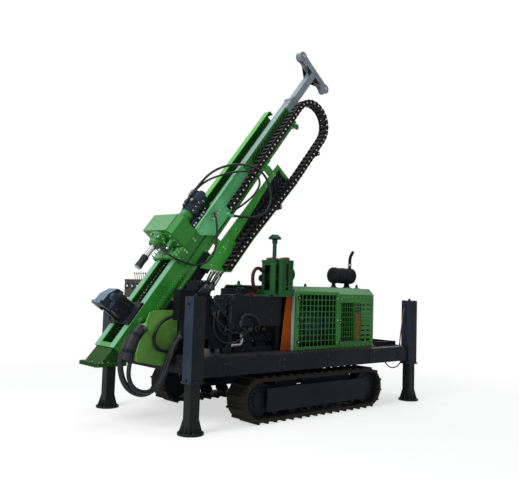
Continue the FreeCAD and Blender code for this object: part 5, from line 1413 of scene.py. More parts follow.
@dataclass
class EngineBay:
    """Engine details seen through the mesh, and the cooling fan's guard on the shroud."""

    top: float = 1.538

    def build(self) -> None:
        """Builds the engine's details."""
        self.engine()
        self.guard()
        self.bulkhead()

    def bulkhead(self) -> None:
        """Near-black sheet in front of the shroud, with a strip over its top, which paints the shade in the engine
        bay, and the shroud's orange wings.
        """
        shape = Shape(RIG, SHADE_BLACK, ORANGE)
        shape.block((0.05, -0.728, 0.842), (0.069, 0.728, 1.632), 0.002)
        shape.block((0.054, -0.42, 1.632), (0.127, 0.728, 1.645), 0.002)
        shape.plate([(-0.068, 0.842), (0.1275, 0.842), (0.1275, 1.634), (0.022, 1.634)], -0.742, 0.008, Plane.SIDE,
            0.001, 1)
        shape.done("engine_bulkhead", "base")

    def engine(self) -> None:
        """Rocker cover, manifolds, filters, pulleys and fan."""
        shape = Shape(RIG, ENGINE, ZINC, ORANGE, BLACK, CLAMP_BLUE)
        shape.block((0.66, -0.13, self.top - 0.002), (1.42, 0.13, self.top + 0.085), 0.02, 3)
        shape.bolts([(0.72 + i * 0.16, y, self.top + 0.083) for i in range(5) for y in (-0.095, 0.095)], Z_AXIS,
            0.008, 1)
        for side in SIDES:
            face = side * 0.3
            for i in range(4):
                x = 0.74 + i * 0.19
                shape.rod((x, face, 1.42), (x, face + side * 0.095, 1.42), 0.03, 0, 16)
                low, high = sorted((face, face + side * 0.018))
                shape.block((x - 0.065, low, 1.02), (x + 0.065, high, 1.3), 0.008, 4 if side < 0 else 0)
            shape.rod((0.68, face + side * 0.095, 1.42), (1.4, face + side * 0.095, 1.42), 0.042, 3, 20, 0.008)
        for x in (0.78, 0.92):
            shape.lathe([(0.0, 0.0), (0.0, 0.045), (0.01, 0.052), (0.16, 0.052), (0.17, 0.04), (0.17, 0.0)],
                (x, -0.375, 1.04), Z_AXIS, 4, 22)
        shape.lathe([(0.0, 0.0), (0.0, 0.07), (0.02, 0.075), (0.14, 0.075), (0.16, 0.06), (0.16, 0.0)],
            (0.52, -0.26, 1.3), X_AXIS, 1, 24)
        for y, z, radius in ((0.0, 1.02, 0.105), (0.0, 1.28, 0.085), (-0.26, 1.3, 0.045)):
            shape.lathe([(0.0, 0.0), (0.0, radius), (0.008, radius), (0.014, radius - 0.012), (0.026, radius),
                (0.034, radius), (0.034, 0.0)], (0.505, y, z), X_AXIS, 3, 28)
        shape.rod((0.36, 0.0, 1.28), (0.5, 0.0, 1.28), 0.03, 1, 16)
        for i in range(7):
            turn = placed((0.345, 0.0, 1.28), math.tau * i / 7, "X") @ Matrix.Rotation(math.radians(35), 4, "Z")
            shape.block((-0.035, -0.003, 0.05), (0.035, 0.003, 0.285), 0.002, 3, turn)
        shape.rod((1.52, -0.3, 1.3), (1.52, 0.3, 1.3), 0.105, 4, 28, 0.012)
        shape.done("engine_details", "base")

    def guard(self) -> None:
        """Fan ring with its wire guard on the orange shroud."""
        shape = Shape(RIG, ORANGE, BLACK, ZINC)
        axle = 1.245
        spot = (0.0695, 0.0, axle)
        shape.lathe([(0.0, 0.3), (0.0, 0.345), (-0.022, 0.345), (-0.026, 0.338), (-0.026, 0.306), (-0.022, 0.3),
            (0.0, 0.3)], spot, X_AXIS, 0, 56)
        shape.rod((0.068, 0.0, axle), (0.066, 0.0, axle), 0.3, 1, 48)
        for radius in (0.07, 0.12, 0.17, 0.22, 0.27):
            wire = circle(6, 0.003)
            shape.lathe([(-0.02 + y, radius + r) for r, y in wire + wire[:1]], spot, X_AXIS, 2, 40)
        for (y, z), (out_y, out_z) in zip(circle(12, 0.05), circle(12, 0.315)):
            shape.rod((0.05, y, axle + z), (0.05, out_y, axle + out_z), 0.003, 2, 6)
        shape.rod((0.046, 0.0, axle), (0.056, 0.0, axle), 0.055, 1, 24, 0.003)
        shape.bolts([(0.0695, y, z) for y in (-0.68, -0.4, 0.4, 0.68) for z in (0.9, 1.56)], MINUS_X, 0.009, 2)
        shape.done("fan_guard", "base")


@dataclass
class OilTank:
    """Cover plates, cap, level gauge and straps of the oil tank."""

    low: float = 1.17
    top: float = 1.555

    def build(self) -> None:
        """Builds the tank's details."""
        shape = Shape(RIG, BLACK, DARK_BOLT)
        shape.block((-0.8, -0.66, self.top), (-0.5, -0.34, self.top + 0.01), 0.002)
        shape.bolts([(x, y, self.top + 0.01) for x in (-0.775, -0.65, -0.525) for y in (-0.635, -0.365)], Z_AXIS,
            0.009, 1)
        shape.lathe([(0.0, 0.0), (0.0, 0.045), (0.012, 0.045), (0.014, 0.038), (0.055, 0.038), (0.058, 0.048),
            (0.085, 0.048), (0.092, 0.04), (0.094, 0.0)], (-0.6, -0.5, self.top + 0.009), Z_AXIS, 0, 28)
        shape.block((-0.925, -0.7075, 1.22), (-0.895, -0.6995, 1.42), 0.003, 1)
        shape.block((-0.918, -0.7105, 1.24), (-0.902, -0.707, 1.4), 0.002, 1)
        for x in (-0.62, -0.22):
            for near, low, far, high in ((-0.7055, self.low + 0.002, -0.6995, self.top - 0.004),
                    (-0.3005, self.low + 0.002, -0.2945, self.top - 0.004),
                    (-0.7055, self.low - 0.006, -0.2945, self.low + 0.001)):
                shape.block((x, near, low), (x + 0.035, far, high), 0.002)
        slope = placed((-0.888, -0.5, 1.4975), math.radians(-49), "Y")
        shape.block((-0.055, -0.13, -0.002), (0.055, 0.13, 0.007), 0.002, 0, slope)
        corners = [slope @ Vector((x, y, 0.007)) for y in (-0.105, 0.105) for x in (-0.035, 0.035)]
        shape.bolts([tuple(point) for point in corners], (-0.755, 0, 0.656), 0.009, 1)
        shape.rod((-0.35, -0.5, self.low - 0.035), (-0.35, -0.5, self.low + 0.001), 0.022, 1, 6)
        for x in (-0.8, -0.55):
            shape.rod((x, -0.62, self.low - 0.028), (x, -0.62, self.low + 0.001), 0.024, 1, 6)
        shape.rod((-0.76, -0.722, self.low + 0.01), (-0.76, -0.722, self.low + 0.034), 0.02, 1, 6)
        shape.rod((-0.76, -0.698, self.low + 0.014), (-0.76, -0.726, self.low + 0.014), 0.016, 1, 12)
        shape.done("tank_details", "base")


@dataclass
class Pumps:
    """Flanges, fins, fittings and pipes of the pump set."""

    y: float = -0.48
    z: float = 1.0

    def build(self) -> None:
        """Builds the pump set's details."""
        shape = Shape(RIG, PUMP, ZINC, CLAMP_BLUE)
        for x, radius in ((-0.742, 0.115), (-0.56, 0.112), (-0.43, 0.12), (-0.412, 0.1), (-0.106, 0.094)):
            shape.band(radius - 0.03, radius, 0.016, (x, self.y, self.z), X_AXIS, 0, 30)
            shape.bolts([(x, self.y + c, self.z + s) for c, s in circle(6, radius - 0.012, 0.25)], MINUS_X, 0.008,
                1)
        for i in range(8):
            shape.band(0.083, 0.093, 0.01, (-0.37 + i * 0.03, self.y, self.z), X_AXIS, 0, 30)
        shape.lathe([(0.0, 0.0), (0.0, 0.05), (0.015, 0.06), (0.15, 0.06), (0.165, 0.048), (0.165, 0.0)],
            (-0.62, -0.575, 1.135), X_AXIS, 2, 26)
        shape.lathe([(0.0, 0.0), (0.0, 0.066), (0.02, 0.066), (0.02, 0.0)], (-0.455, -0.575, 1.135), X_AXIS, 0, 26)
        for x, y, z in ((-0.61, -0.585, 1.13), (-0.55, -0.585, 1.13), (-0.72, -0.4, 1.1), (-0.5, -0.4, 1.11)):
            shape.rod((x, y, z - 0.03), (x, y, z + 0.022), 0.02, 1, 6)
            shape.rod((x, y, z + 0.02), (x, y, z + 0.055), 0.015, 1, 12)
        shape.pipe([(-0.9, -0.655, 0.938), (-0.84, -0.655, 0.936), (-0.76, -0.655, 0.934), (-0.7, -0.652, 0.938),
            (-0.672, -0.645, 0.975), (-0.664, -0.63, 1.03), (-0.66, -0.6, 1.075), (-0.63, -0.59, 1.08)], 0.025, 1)
        shape.rod((-0.875, -0.655, 0.938), (-0.845, -0.655, 0.938), 0.034, 1, 6)
        shape.block((-0.985, -0.7, DECK_TOP), (-0.865, -0.6, 0.905), 0.006, 0)
        shape.rod((-0.915, -0.655, 0.9), (-0.915, -0.655, 0.965), 0.034, 0, 18, 0.004)
        shape.done("pump_details", "base")


@dataclass
class Winch:
    """Rope, bolts, gussets and motor of the winch, and the post's collar."""

    x: float = -0.04
    y: float = -0.602
    drum_z: float = 1.8

    def build(self) -> None:
        """Builds the winch's details."""
        rope = Shape(RIG, LINKS)
        profile = [(0.0, 0.052)]
        for turn in range(23):
            start = 0.004 + turn * 0.013
            profile += [(start, 0.054), (start + 0.0065, 0.0655)]
        profile += [(0.306, 0.054), (0.306, 0.052), (0.0, 0.052)]
        rope.lathe(profile, (self.x, self.y - 0.153, self.drum_z), Y_AXIS, 0, 24)
        rope.done("winch_rope", "winch")
        cage = Shape(RIG, CAGE_GREEN, DARK_BOLT, SHADE_BLACK, HOSE_RUST)
        x0, x1, y0, y1 = self.x - 0.105, self.x + 0.105, self.y - 0.195, self.y + 0.195
        rim = 0.008
        for left, front, right, back in ((x0 - rim, y0 - rim, x1 + rim, y0), (x0 - rim, y1, x1 + rim, y1 + rim),
                (x0 - rim, y0 - rim, x0, y1 + rim), (x1, y0 - rim, x1 + rim, y1 + rim)):
            cage.block((left, front, 2.018), (right, back, 2.045), 0.003)
        # Near-black sheets inside the cage paint the shade there.
        cage.block((x1 - 0.015, y0 + 0.014, 1.592), (x1 - 0.0125, y1 - 0.014, 2.03), 0.0, 2)
        cage.block((x0 + 0.014, y1 - 0.015, 1.592), (x1 - 0.014, y1 - 0.0125, 2.03), 0.0, 2)
        cage.block((x0 + 0.05, y0 - 0.003, 1.64), (x0 + 0.082, y0 + 0.002, 1.786), 0.0)
        cage.block((x0 + 0.13, y0 - 0.003, 1.64), (x0 + 0.162, y0 + 0.002, 1.786), 0.0)
        cage.pipe([(-0.128, -0.765, 2.056), (-0.06, -0.776, 2.066), (0.026, -0.766, 2.064), (0.05, -0.69, 2.062),
            (0.05, -0.54, 2.062), (0.02, -0.44, 2.06), (-0.08, -0.43, 2.062), (-0.126, -0.5, 2.062),
            (-0.13, -0.64, 2.064)], 0.017, 3)
        cage.block((x0 - 0.005, y0 - 0.008, 1.6), (x0 + 0.02, y0 + 0.022, 2.018), 0.003)
        cage.block((x1 - 0.02, y0 - 0.008, 1.6), (x1 + 0.005, y0 + 0.022, 2.018), 0.003)
        # A near-black strip on the cage's near face paints shade.
        cage.block((x0 + 0.084, y0 - 0.002, 1.778), (x0 + 0.128, y0 + 0.001, 1.99), 0.0, 2)
        cage.rod((self.x, y1, self.drum_z), (self.x, y1 + 0.02, self.drum_z), 0.07, 0, 28, 0.004)
        cage.bolts([(self.x + c, y1 + 0.02, self.drum_z + s) for c, s in circle(6, 0.054)], Y_AXIS, 0.009, 1)
        cage.rod((self.x, y1 + 0.018, self.drum_z), (self.x, y1 + 0.13, self.drum_z), 0.052, 2, 26, 0.006)
        for x in (x0 - 0.03, x1 - 0.02):
            cage.bolts([(x, y, 1.576) for y in (y0 + 0.03, self.y, y1 - 0.02)], Z_AXIS, 0.01, 1)
        for y in (self.y - 0.11, self.y + 0.02, self.y + 0.12):
            cage.rod((self.x, y, 1.965), (self.x, y, 2.052), 0.026, 3, 18, 0.006)
        cage.done("winch_trim", "base")
        post = Shape(RIG, TEAL, DARK_BOLT, CAGE_GREEN)
        px, py = self.x - 0.172, self.y - 0.12
        post.band(0.0274, 0.0315, 0.4, (px, py, 1.622), Z_AXIS, 2, 22)
        post.lathe([(0.0, 0.0273), (0.0, 0.06), (0.012, 0.06), (0.014, 0.04), (0.045, 0.034), (0.045, 0.0273),
            (0.0, 0.0273)], (px, py, 1.5765), Z_AXIS, 0, 28)
        post.bolts([(px + c, py + s, 1.5885) for c, s in circle(4, 0.048, 0.5)], Z_AXIS, 0.008, 1)
        post.lathe([(0.0, 0.0273), (0.0, 0.036), (0.05, 0.036), (0.055, 0.0273), (0.0, 0.0273)], (px, py, 2.255),
            Z_AXIS, 0, 24)
        post.lathe([(0.0, 0.0), (0.0, 0.08), (0.004, 0.0855), (0.02, 0.0855), (0.03, 0.078), (0.048, 0.052),
            (0.058, 0.03), (0.062, 0.0)], (px, py, 2.312), Z_AXIS, 0, 36)
        post.done("post_cap", "base")


@dataclass
class Valves:
    """Spools, fittings, levers and gauges on the valve boxes and console."""

    def build(self) -> None:
        """Builds the details of both places."""
        shape = Shape(RIG, BLACK, DARK_BOLT, PUMP, SHADE_BLACK)
        for i in range(5):
            x = -1.395 + i * 0.056
            shape.block((x, -0.652, 1.699), (x + 0.04, -0.468, 1.716), 0.003)
            for y in (-0.62, -0.56, -0.5):
                shape.rod((x + 0.02, y, 1.714), (x + 0.02, y, 1.734), 0.012, 1, 6)
        for i in range(4):
            x = -1.17 + i * 0.058
            shape.block((x, -0.668, 1.32), (x + 0.044, -0.6595, 1.49), 0.003, 2)
            shape.rod((x + 0.022, -0.684, 1.355), (x + 0.022, -0.666, 1.355), 0.015, 1, 6)
            shape.rod((x + 0.022, -0.69, 1.445), (x + 0.022, -0.666, 1.445), 0.013, 1, 12)
            shape.rod((x + 0.022, -0.6, 1.515), (x + 0.022, -0.6, 1.545), 0.015, 1, 6)
        shape.bolts([(x, -0.6605, z) for x in (-1.4, -1.16) for z in (1.63, 1.682)], MINUS_Y, 0.008, 1)
        # Near-black blocks that paint the shade in the valve boxes.
        shape.block((-1.414, -0.655, 1.02), (-1.196, -0.47, 1.6125), 0.004, 3)
        shape.block((-1.66, -0.655, 1.25), (-1.412, -0.535, 1.6125), 0.004, 3)
        shape.block((-1.19, -0.655, 0.9), (-0.952, -0.545, 1.2995), 0.004, 3)
        shape.bolts([(-1.441, y, z) for y in (-0.455, -0.345) for z in (0.9, 1.1, 1.3)], MINUS_X, 0.01, 1)
        shape.done("valve_spools", "base")
        desk = Shape(RIG, CONSOLE, DARK_BOLT, GLASS, BLACK, RED)
        desk.block((-1.536, 0.412, 1.7), (-1.204, 0.848, 1.726), 0.004)
        for i in range(7):
            y = 0.455 + i * 0.056
            desk.rod((-1.4, y, 1.724), (-1.415, y, 1.8), 0.004, 3, 8)
            desk.rod((-1.415, y, 1.8), (-1.417, y, 1.82), 0.009, 3 if i % 3 else 4, 14, 0.003)
        for y in (0.5, 0.63, 0.76):
            desk.lathe([(0.0, 0.0), (0.0, 0.04), (0.012, 0.042), (0.014, 0.036), (0.01, 0.034), (0.01, 0.0)],
                (-1.53, y, 1.635), MINUS_X, 3, 26)
            desk.rod((-1.5395, y, 1.635), (-1.5415, y, 1.635), 0.033, 3, 24)
            desk.rod((-1.5412, y, 1.635), (-1.542, y, 1.635), 0.016, 2, 20)
        desk.bolts([(-1.53, y, z) for y in (0.44, 0.82) for z in (1.5, 1.7)], MINUS_X, 0.007, 1)
        desk.block((-1.534, 0.416, 1.478), (-1.206, 0.844, 1.7), 0.006)
        desk.block((-1.404, 0.556, DECK_TOP), (-1.236, 0.724, 0.85), 0.003)
        desk.done("console_levers", "base")


@dataclass
class Silencer:
    """Straps, seams and clamp of the muffler."""

    x: float = 1.245
    y: float = -0.44
    z: float = 1.89

    def build(self) -> None:
        """Builds the muffler's details."""
        shape = Shape(RIG, SOOT, ZINC)
        for place in (0.075, 0.23, 0.385):
            shape.band(0.1172, 0.1215, 0.024, (self.x + place - 0.012, self.y, self.z), X_AXIS, 0, 40)
        for place in (0.03, 0.43):
            shape.band(0.108, 0.121, 0.008, (self.x + place - 0.004, self.y, self.z), X_AXIS, 0, 40)
        shape.band(0.0242, 0.031, 0.026, (1.657, self.y, self.z + 0.16), Z_AXIS, 1, 24)
        shape.done("muffler_straps", "base")


@dataclass
class HoseWork:
    """Every hose of the rig, with its end fittings."""

    hoses: tuple[Hose, ...] = (
        Hose("head_loop_hose", "head", ((2.2403, -0.15, 0.326), (2.48, -0.15, 0.326), (2.72, -0.2, 0.275),
            (2.9, -0.32, 0.16), (3.02, -0.43, 0.0), (3.07, -0.464, -0.2), (3.01, -0.47, -0.4), (2.86, -0.47, -0.55),
            (2.67, -0.452, -0.585), (2.53, -0.41, -0.5), (2.44, -0.355, -0.4), (2.345, -0.312, -0.27)), 0.016, HOSE,
            "head_hose", MAST),
        Hose("head_second_hose", "head", ((2.105, -0.135, 0.32), (2.3, -0.137, 0.32), (2.52, -0.17, 0.27),
            (2.74, -0.27, 0.15), (2.9, -0.4, 0.02), (2.985, -0.446, -0.14), (2.93, -0.452, -0.26),
            (2.76, -0.446, -0.285), (2.58, -0.415, -0.262), (2.44, -0.35, -0.235), (2.33, -0.296, -0.215)), 0.014,
            HOSE, "", MAST),
        Hose("head_hanging_hose", "head", ((2.165, -0.294, -0.03), (2.12, -0.35, -0.012), (2.05, -0.431, -0.028),
            (1.93, -0.438, -0.14), (1.76, -0.434, -0.265), (1.58, -0.375, -0.32), (1.44, -0.324, -0.245),
            (1.335, -0.332, -0.04), (1.285, -0.312, 0.13), (1.3, -0.215, 0.235), (1.372, -0.08, 0.256)), 0.014,
            HOSE, "", MAST),
        Hose("bundle_hose", "base", ((-1.985, -0.42, 1.16), (-2.11, -0.42, 1.115), (-2.205, -0.42, 0.985),
            (-2.262, -0.42, 0.82), (-2.25, -0.42, 0.64), (-2.165, -0.42, 0.48), (-2.0, -0.42, 0.385),
            (-1.835, -0.42, 0.405), (-1.71, -0.42, 0.53), (-1.65, -0.42, 0.71), (-1.58, -0.42, 0.89),
            (-1.478, -0.42, 1.035)), 0.034, HOSE, "deck_hoses"),
        Hose("bundle_inner_hose", "base", ((-1.985, -0.484, 1.15), (-2.055, -0.486, 1.105), (-2.105, -0.486, 0.99),
            (-2.15, -0.486, 0.86), (-2.185, -0.486, 0.73), (-2.185, -0.486, 0.6), (-2.12, -0.484, 0.48),
            (-1.985, -0.484, 0.42), (-1.84, -0.484, 0.43), (-1.735, -0.48, 0.53), (-1.66, -0.475, 0.68),
            (-1.6, -0.47, 0.84), (-1.56, -0.465, 0.96), (-1.478, -0.462, 1.045)), 0.026, HOSE),
        Hose("side_loop_hose", "base", ((-1.475, -0.35, 1.296), (-1.6, -0.35, 1.27), (-1.715, -0.35, 1.19),
            (-1.785, -0.35, 1.065), (-1.775, -0.35, 0.93), (-1.69, -0.35, 0.872), (-1.565, -0.35, 0.856),
            (-1.475, -0.35, 0.866)), 0.019, HOSE),
        Hose("winch_hose_front", "base", ((-0.163, -0.44, 1.9), (-0.215, -0.442, 1.93), (-0.29, -0.45, 1.925),
            (-0.345, -0.455, 1.86), (-0.355, -0.46, 1.765), (-0.335, -0.46, 1.68), (-0.262, -0.455, 1.632),
            (-0.222, -0.455, 1.6)), 0.024, HOSE_BROWN),
        Hose("winch_hose_rear", "base", ((0.066, -0.65, 1.99), (0.115, -0.65, 1.985), (0.185, -0.655, 1.94),
            (0.205, -0.655, 1.85), (0.16, -0.65, 1.765), (0.085, -0.64, 1.73)), 0.016, HOSE),
        Hose("shroud_hose", "base", ((0.062, -0.6, 1.6), (0.045, -0.6, 1.65), (0.03, -0.62, 1.69),
            (0.025, -0.68, 1.705), (0.028, -0.745, 1.69), (0.06, -0.775, 1.64), (0.112, -0.775, 1.58)), 0.014,
            HOSE_CREAM),
        Hose("rear_jack_hose", "base", ((2.418, -0.96, 1.43), (2.38, -0.96, 1.425), (2.345, -0.96, 1.36),
            (2.325, -0.96, 1.24), (2.3, -0.96, 1.11), (2.275, -0.96, 0.98), (2.262, -0.96, 0.848)), 0.009,
            HOSE_RUST),
        Hose("winch_right_hose", "base", ((0.072, -0.6, 1.965), (0.125, -0.606, 1.985), (0.215, -0.615, 1.96),
            (0.27, -0.62, 1.885), (0.256, -0.62, 1.805), (0.18, -0.612, 1.755), (0.072, -0.6, 1.745)), 0.016, HOSE),
        Hose("rear_low_hose", "base", ((1.98, -0.895, 0.618), (2.02, -0.895, 0.57), (2.1, -0.895, 0.52),
            (2.22, -0.895, 0.505), (2.32, -0.895, 0.53), (2.38, -0.895, 0.58), (2.4, -0.905, 0.64)), 0.009, HOSE),
        Hose("pump_arch_hose", "base", ((-0.76, -0.722, 1.2), (-0.765, -0.738, 1.275), (-0.705, -0.748, 1.325),
            (-0.59, -0.75, 1.315), (-0.49, -0.748, 1.26), (-0.452, -0.735, 1.165), (-0.44, -0.69, 1.08),
            (-0.395, -0.59, 1.035)), 0.017, HOSE),
        Hose("valve_long_hose", "base", ((-1.172, -0.682, 1.496), (-1.165, -0.715, 1.47), (-1.1, -0.722, 1.4),
            (-0.985, -0.715, 1.3), (-0.9, -0.665, 1.205), (-0.81, -0.59, 1.15), (-0.715, -0.5, 1.12)), 0.01, HOSE),
        Hose("valve_low_hose", "base", ((-1.175, -0.69, 1.33), (-1.15, -0.725, 1.27), (-1.06, -0.745, 1.18),
            (-0.93, -0.735, 1.115), (-0.8, -0.69, 1.08), (-0.662, -0.612, 1.085)), 0.01, HOSE),
        Hose("pump_feed_hose", "base", ((-0.5, -0.42, 1.105), (-0.52, -0.385, 1.205), (-0.64, -0.37, 1.24),
            (-0.78, -0.4, 1.23), (-0.9, -0.47, 1.235), (-0.99, -0.56, 1.29), (-1.05, -0.64, 1.35),
            (-1.085, -0.684, 1.36)), 0.014, HOSE),
        Hose("pump_return_hose", "base", ((-0.61, -0.6, 1.145), (-0.625, -0.64, 1.165), (-0.76, -0.66, 1.11),
            (-0.9, -0.68, 1.06), (-1.01, -0.68, 1.08), (-1.08, -0.68, 1.16), (-1.11, -0.684, 1.26),
            (-1.09, -0.684, 1.345)), 0.011, HOSE),
        Hose("pump_drain_hose", "base", ((-0.55, -0.6, 1.145), (-0.56, -0.655, 1.165), (-0.64, -0.69, 1.08),
            (-0.76, -0.7, 0.99), (-0.9, -0.69, 0.955), (-1.04, -0.66, 0.99), (-1.145, -0.66, 1.12),
            (-1.15, -0.684, 1.24), (-1.148, -0.684, 1.345)), 0.012, HOSE),
    )

    def build(self) -> None:
        """Builds the hoses, their end fittings and the bundle of valve hoses."""
        for hose in self.hoses:
            hose.build()
        self.fittings()
        self.guard()
        self.risers()

    def fittings(self) -> None:
        """A crimped sleeve and nut at both ends of each hose."""
        for body in ("head", "base"):
            for axes in (MAST, RIG):
                rows = [h for h in self.hoses if h.body == body and (h.axes or RIG) == axes]
                if not rows:
                    continue
                shape = Shape(axes, ENGINE, BLACK)
                for hose in rows:
                    if hose.name == "bundle_hose":
                        self.bands(shape, hose)
                        continue
                    radius = hose.radius
                    for start, along in hose.ends():
                        shape.lathe([(-0.004, 0.0), (-0.004, radius * 1.35), (0.012, radius * 1.35),
                            (0.014, radius * 1.22), (0.04, radius * 1.22), (0.043, radius * 1.02),
                            (0.043, radius * 0.5), (0.01, 0.0)], tuple(start), tuple(along), 0, 12)
                shape.done(f"hose_fittings_{body}_{'mast' if axes == MAST else 'deck'}", body)

    def bands(self, shape: Shape, hose: Hose) -> None:
        """Black bands at the bundle's ends."""
        radius = hose.radius
        for start, along in hose.ends():
            shape.lathe([(-0.003, 0.0), (-0.003, radius * 1.14), (0.06, radius * 1.14), (0.064, radius * 1.0),
                (0.0, 0.0)], tuple(start), tuple(along), 1, 22)

    def guard(self) -> None:
        """Wide black guard round the bundle's first stretch, with its straps."""
        shape = Shape(RIG, HOSE, BLACK)
        route = [(-2.035, -0.452, 1.15), (-2.1, -0.452, 1.08), (-2.145, -0.452, 0.99), (-2.18, -0.452, 0.9),
            (-2.205, -0.452, 0.8)]
        shape.pipe(route, 0.074, 0, 5)
        for first, second in ((route[1], route[2]), (route[3], route[4])):
            along = Vector(second) - Vector(first)
            shape.lathe([(-0.02, 0.07), (-0.02, 0.0775), (0.02, 0.0775), (0.02, 0.07), (-0.02, 0.07)], first,
                tuple(along), 1, 30)
        shape.done("bundle_guard", "base")

    def risers(self) -> None:
        """Hoses that rise from the valves to the low end of the tray, two of them in a pale metallic cover that
        paints the highlights along black hoses.
        """
        ends = Shape(RIG, ZINC, DARK_BOLT)
        for index in range(7):
            x, end_x = -1.385 + index * 0.026, -0.915 + index * 0.031
            end_y, end_z = -0.292 - (index % 2) * 0.012, 1.868 - max(0.0, end_x + 0.953) * 0.085
            sway = 0.01 * (index % 3)
            points = ((x, -0.684, 1.6), (x + 0.03, -0.7, 1.64), (x + 0.12, -0.65 + sway, 1.7),
                (end_x - 0.13, end_y - 0.1, 1.775 + sway), (end_x - 0.03, end_y - 0.02, 1.835),
                (end_x, end_y, end_z))
            # The second and fifth riser take the pale metallic cover that paints highlights along them.
            hose = Hose(f"valve_riser_{index}", "base", points, 0.0105, HIGHLIGHT_HOSE if index % 3 == 1 else HOSE)
            hose.build()
            for finish, (start, along) in zip((1, 0), hose.ends()):
                ends.lathe([(-0.012, 0.0), (-0.012, 0.014), (0.004, 0.014), (0.006, 0.0125), (0.05, 0.0125),
                    (0.052, 0.0108), (0.02, 0.0)], tuple(start), tuple(along), finish, 12)
            ends.rod((x, -0.684, 1.59), (x, -0.655, 1.59), 0.012, 1, 8)
        ends.done("riser_fittings", "base")


# Stage

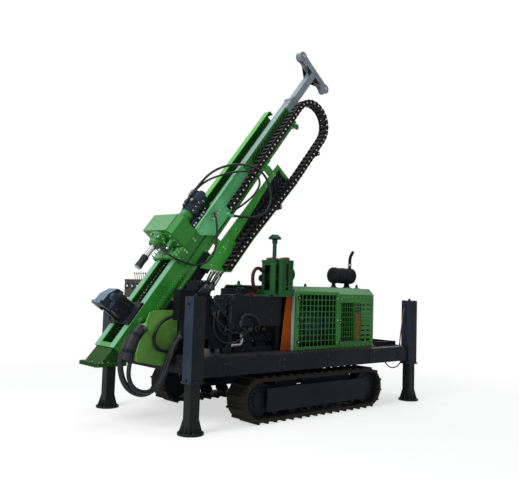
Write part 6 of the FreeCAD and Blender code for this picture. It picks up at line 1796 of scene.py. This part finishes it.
@dataclass
class Studio:
    """Camera, lamps, world and floor."""

    eye: Triple = (-5.9715, -6.782, 1.65)
    forward: Triple = (0.6625, 0.7451, 0.0769)
    roll: float = 0.032
    lens: float = 43.46
    film: float = 36.0
    farthest: float = 200.0
    aim: Triple = (0.0, 0.0, 1.6)
    floor_radius: float = 45.0
    floor_tone: tuple[float, ...] = (0.86, 0.86, 0.86, 1.0)
    sky_tone: tuple[float, ...] = (0.9, 0.95, 1.0, 1.0)
    sky_strength: float = 0.34

    def build(self) -> None:
        """Builds everything that isn't the rig."""
        bpy.context.scene.view_settings.view_transform = "Standard"
        self.camera()
        self.world()
        self.floor()
        self.lamps()

    def camera(self) -> None:
        """Camera at the picture's viewpoint."""
        data = bpy.data.cameras.new("view")
        data.lens = self.lens
        data.sensor_width = self.film
        data.clip_end = self.farthest
        item = put("view", data)
        ahead = Vector(self.forward).normalized()
        right = ahead.cross(Vector(Z_AXIS)).normalized()
        up = right.cross(ahead)
        level, rise = math.cos(self.roll), math.sin(self.roll)
        across, above = right * level + up * rise, up * level - right * rise
        item.matrix_world = Matrix((*zip(across, above, -ahead, self.eye), (0, 0, 0, 1)))
        bpy.context.scene.camera = item

    def seen_directly(self, tree: bpy.types.NodeTree) -> bpy.types.NodeSocket:
        """Share of a ray that shows the backdrop itself: from the camera, a reflection or through glass.

        Args:
            tree: node tree of the world or the floor.

        Returns:
            A socket that is 1 for such a ray and 0 for light that falls on the rig.
        """
        path = tree.nodes.new("ShaderNodeLightPath")
        share = path.outputs["Is Camera Ray"]
        for name in ("Is Glossy Ray", "Is Transmission Ray"):
            larger = tree.nodes.new("ShaderNodeMath")
            larger.operation = "MAXIMUM"
            tree.links.new(share, larger.inputs[0])
            tree.links.new(path.outputs[name], larger.inputs[1])
            share = larger.outputs[0]
        return share

    def world(self) -> None:
        """Soft grey light, seen as white by the camera and in reflections."""
        world = bpy.data.worlds.new("studio")
        world.use_nodes = True
        bpy.context.scene.world = world
        tree = world.node_tree
        tree.nodes.clear()
        seen = self.seen_directly(tree)
        soft, white, both = (tree.nodes.new(kind) for kind in ("ShaderNodeBackground", "ShaderNodeBackground",
            "ShaderNodeMixShader"))
        soft.inputs["Color"].default_value = self.sky_tone
        soft.inputs["Strength"].default_value = self.sky_strength
        white.inputs["Color"].default_value = (1.0, 1.0, 1.0, 1.0)
        tree.links.new(seen, both.inputs[0])
        tree.links.new(soft.outputs[0], both.inputs[1])
        tree.links.new(white.outputs[0], both.inputs[2])
        tree.links.new(both.outputs[0], tree.nodes.new("ShaderNodeOutputWorld").inputs["Surface"])

    def floor(self) -> None:
        """Pale floor that keeps the shadow near the rig and fades to white around it."""
        mesh = bmesh.new()
        bmesh.ops.create_circle(mesh, cap_ends=True, segments=64, radius=self.floor_radius)
        data = bpy.data.meshes.new("floor")
        mesh.to_mesh(data)
        mesh.free()
        graph = Graph("floor_white")
        graph.shader.inputs["Base Color"].default_value = self.floor_tone
        graph.shader.inputs["Roughness"].default_value = 0.9
        length = graph.add("ShaderNodeVectorMath", operation="LENGTH")
        graph.feed(length.inputs[0], graph.place)
        glow = graph.add("ShaderNodeEmission")
        fade = graph.math("MULTIPLY", graph.span(length.outputs["Value"], 2.2, 6.5, 0.62, 1.0),
            self.seen_directly(graph.tree))
        mix = graph.add("ShaderNodeMixShader")
        graph.feed(mix.inputs[0], fade)
        graph.feed(mix.inputs[1], graph.shader.outputs[0])
        graph.feed(mix.inputs[2], glow.outputs[0])
        out = next(node for node in graph.tree.nodes if node.type == "OUTPUT_MATERIAL")
        graph.feed(out.inputs["Surface"], mix.outputs[0])
        data.materials.append(graph.material)
        item = put("floor", data)

    def lamps(self) -> None:
        """Key from the front end and above, weak fill from the near side, soft top and rim."""
        lamps = (("key", (-8.0, -1.5, 6.5), 3.5, 760.0, (1.0, 0.99, 0.97)),
            ("fill", (-2.5, -9.0, 3.0), 5.0, 120.0, (0.95, 0.98, 1.0)),
            ("top", (0.5, 0.5, 9.5), 6.0, 360.0, (1.0, 1.0, 1.0)),
            ("rim", (7.5, 5.0, 5.0), 4.0, 150.0, (1.0, 1.0, 1.0)))
        for name, place, size, power, tone in lamps:
            data = bpy.data.lights.new(name, "AREA")
            data.size = size
            data.energy = power
            data.color = tone
            item = put(name, data)
            item.location = place
            item.rotation_euler = (Vector(self.aim) - Vector(place)).to_track_quat("-Z", "Y").to_euler()


def main() -> None:
    """Builds the dressed rig and its stage."""
    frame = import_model()
    Studio().build()
    HoseWork().build()
    CarriedNodes().dress(frame["nodes"])
    for part in (Tracks, Jacks, Deck, Mast, Head, RodClamp, DragChain, Crown, Canopy, EngineBay, OilTank, Pumps,
            Winch, Valves, Silencer):
        log.info("building %s", part.__name__)
        part().build()


if __name__ == "__main__":
    logging.basicConfig(level=logging.INFO, format="%(name)s: %(message)s")
    main()
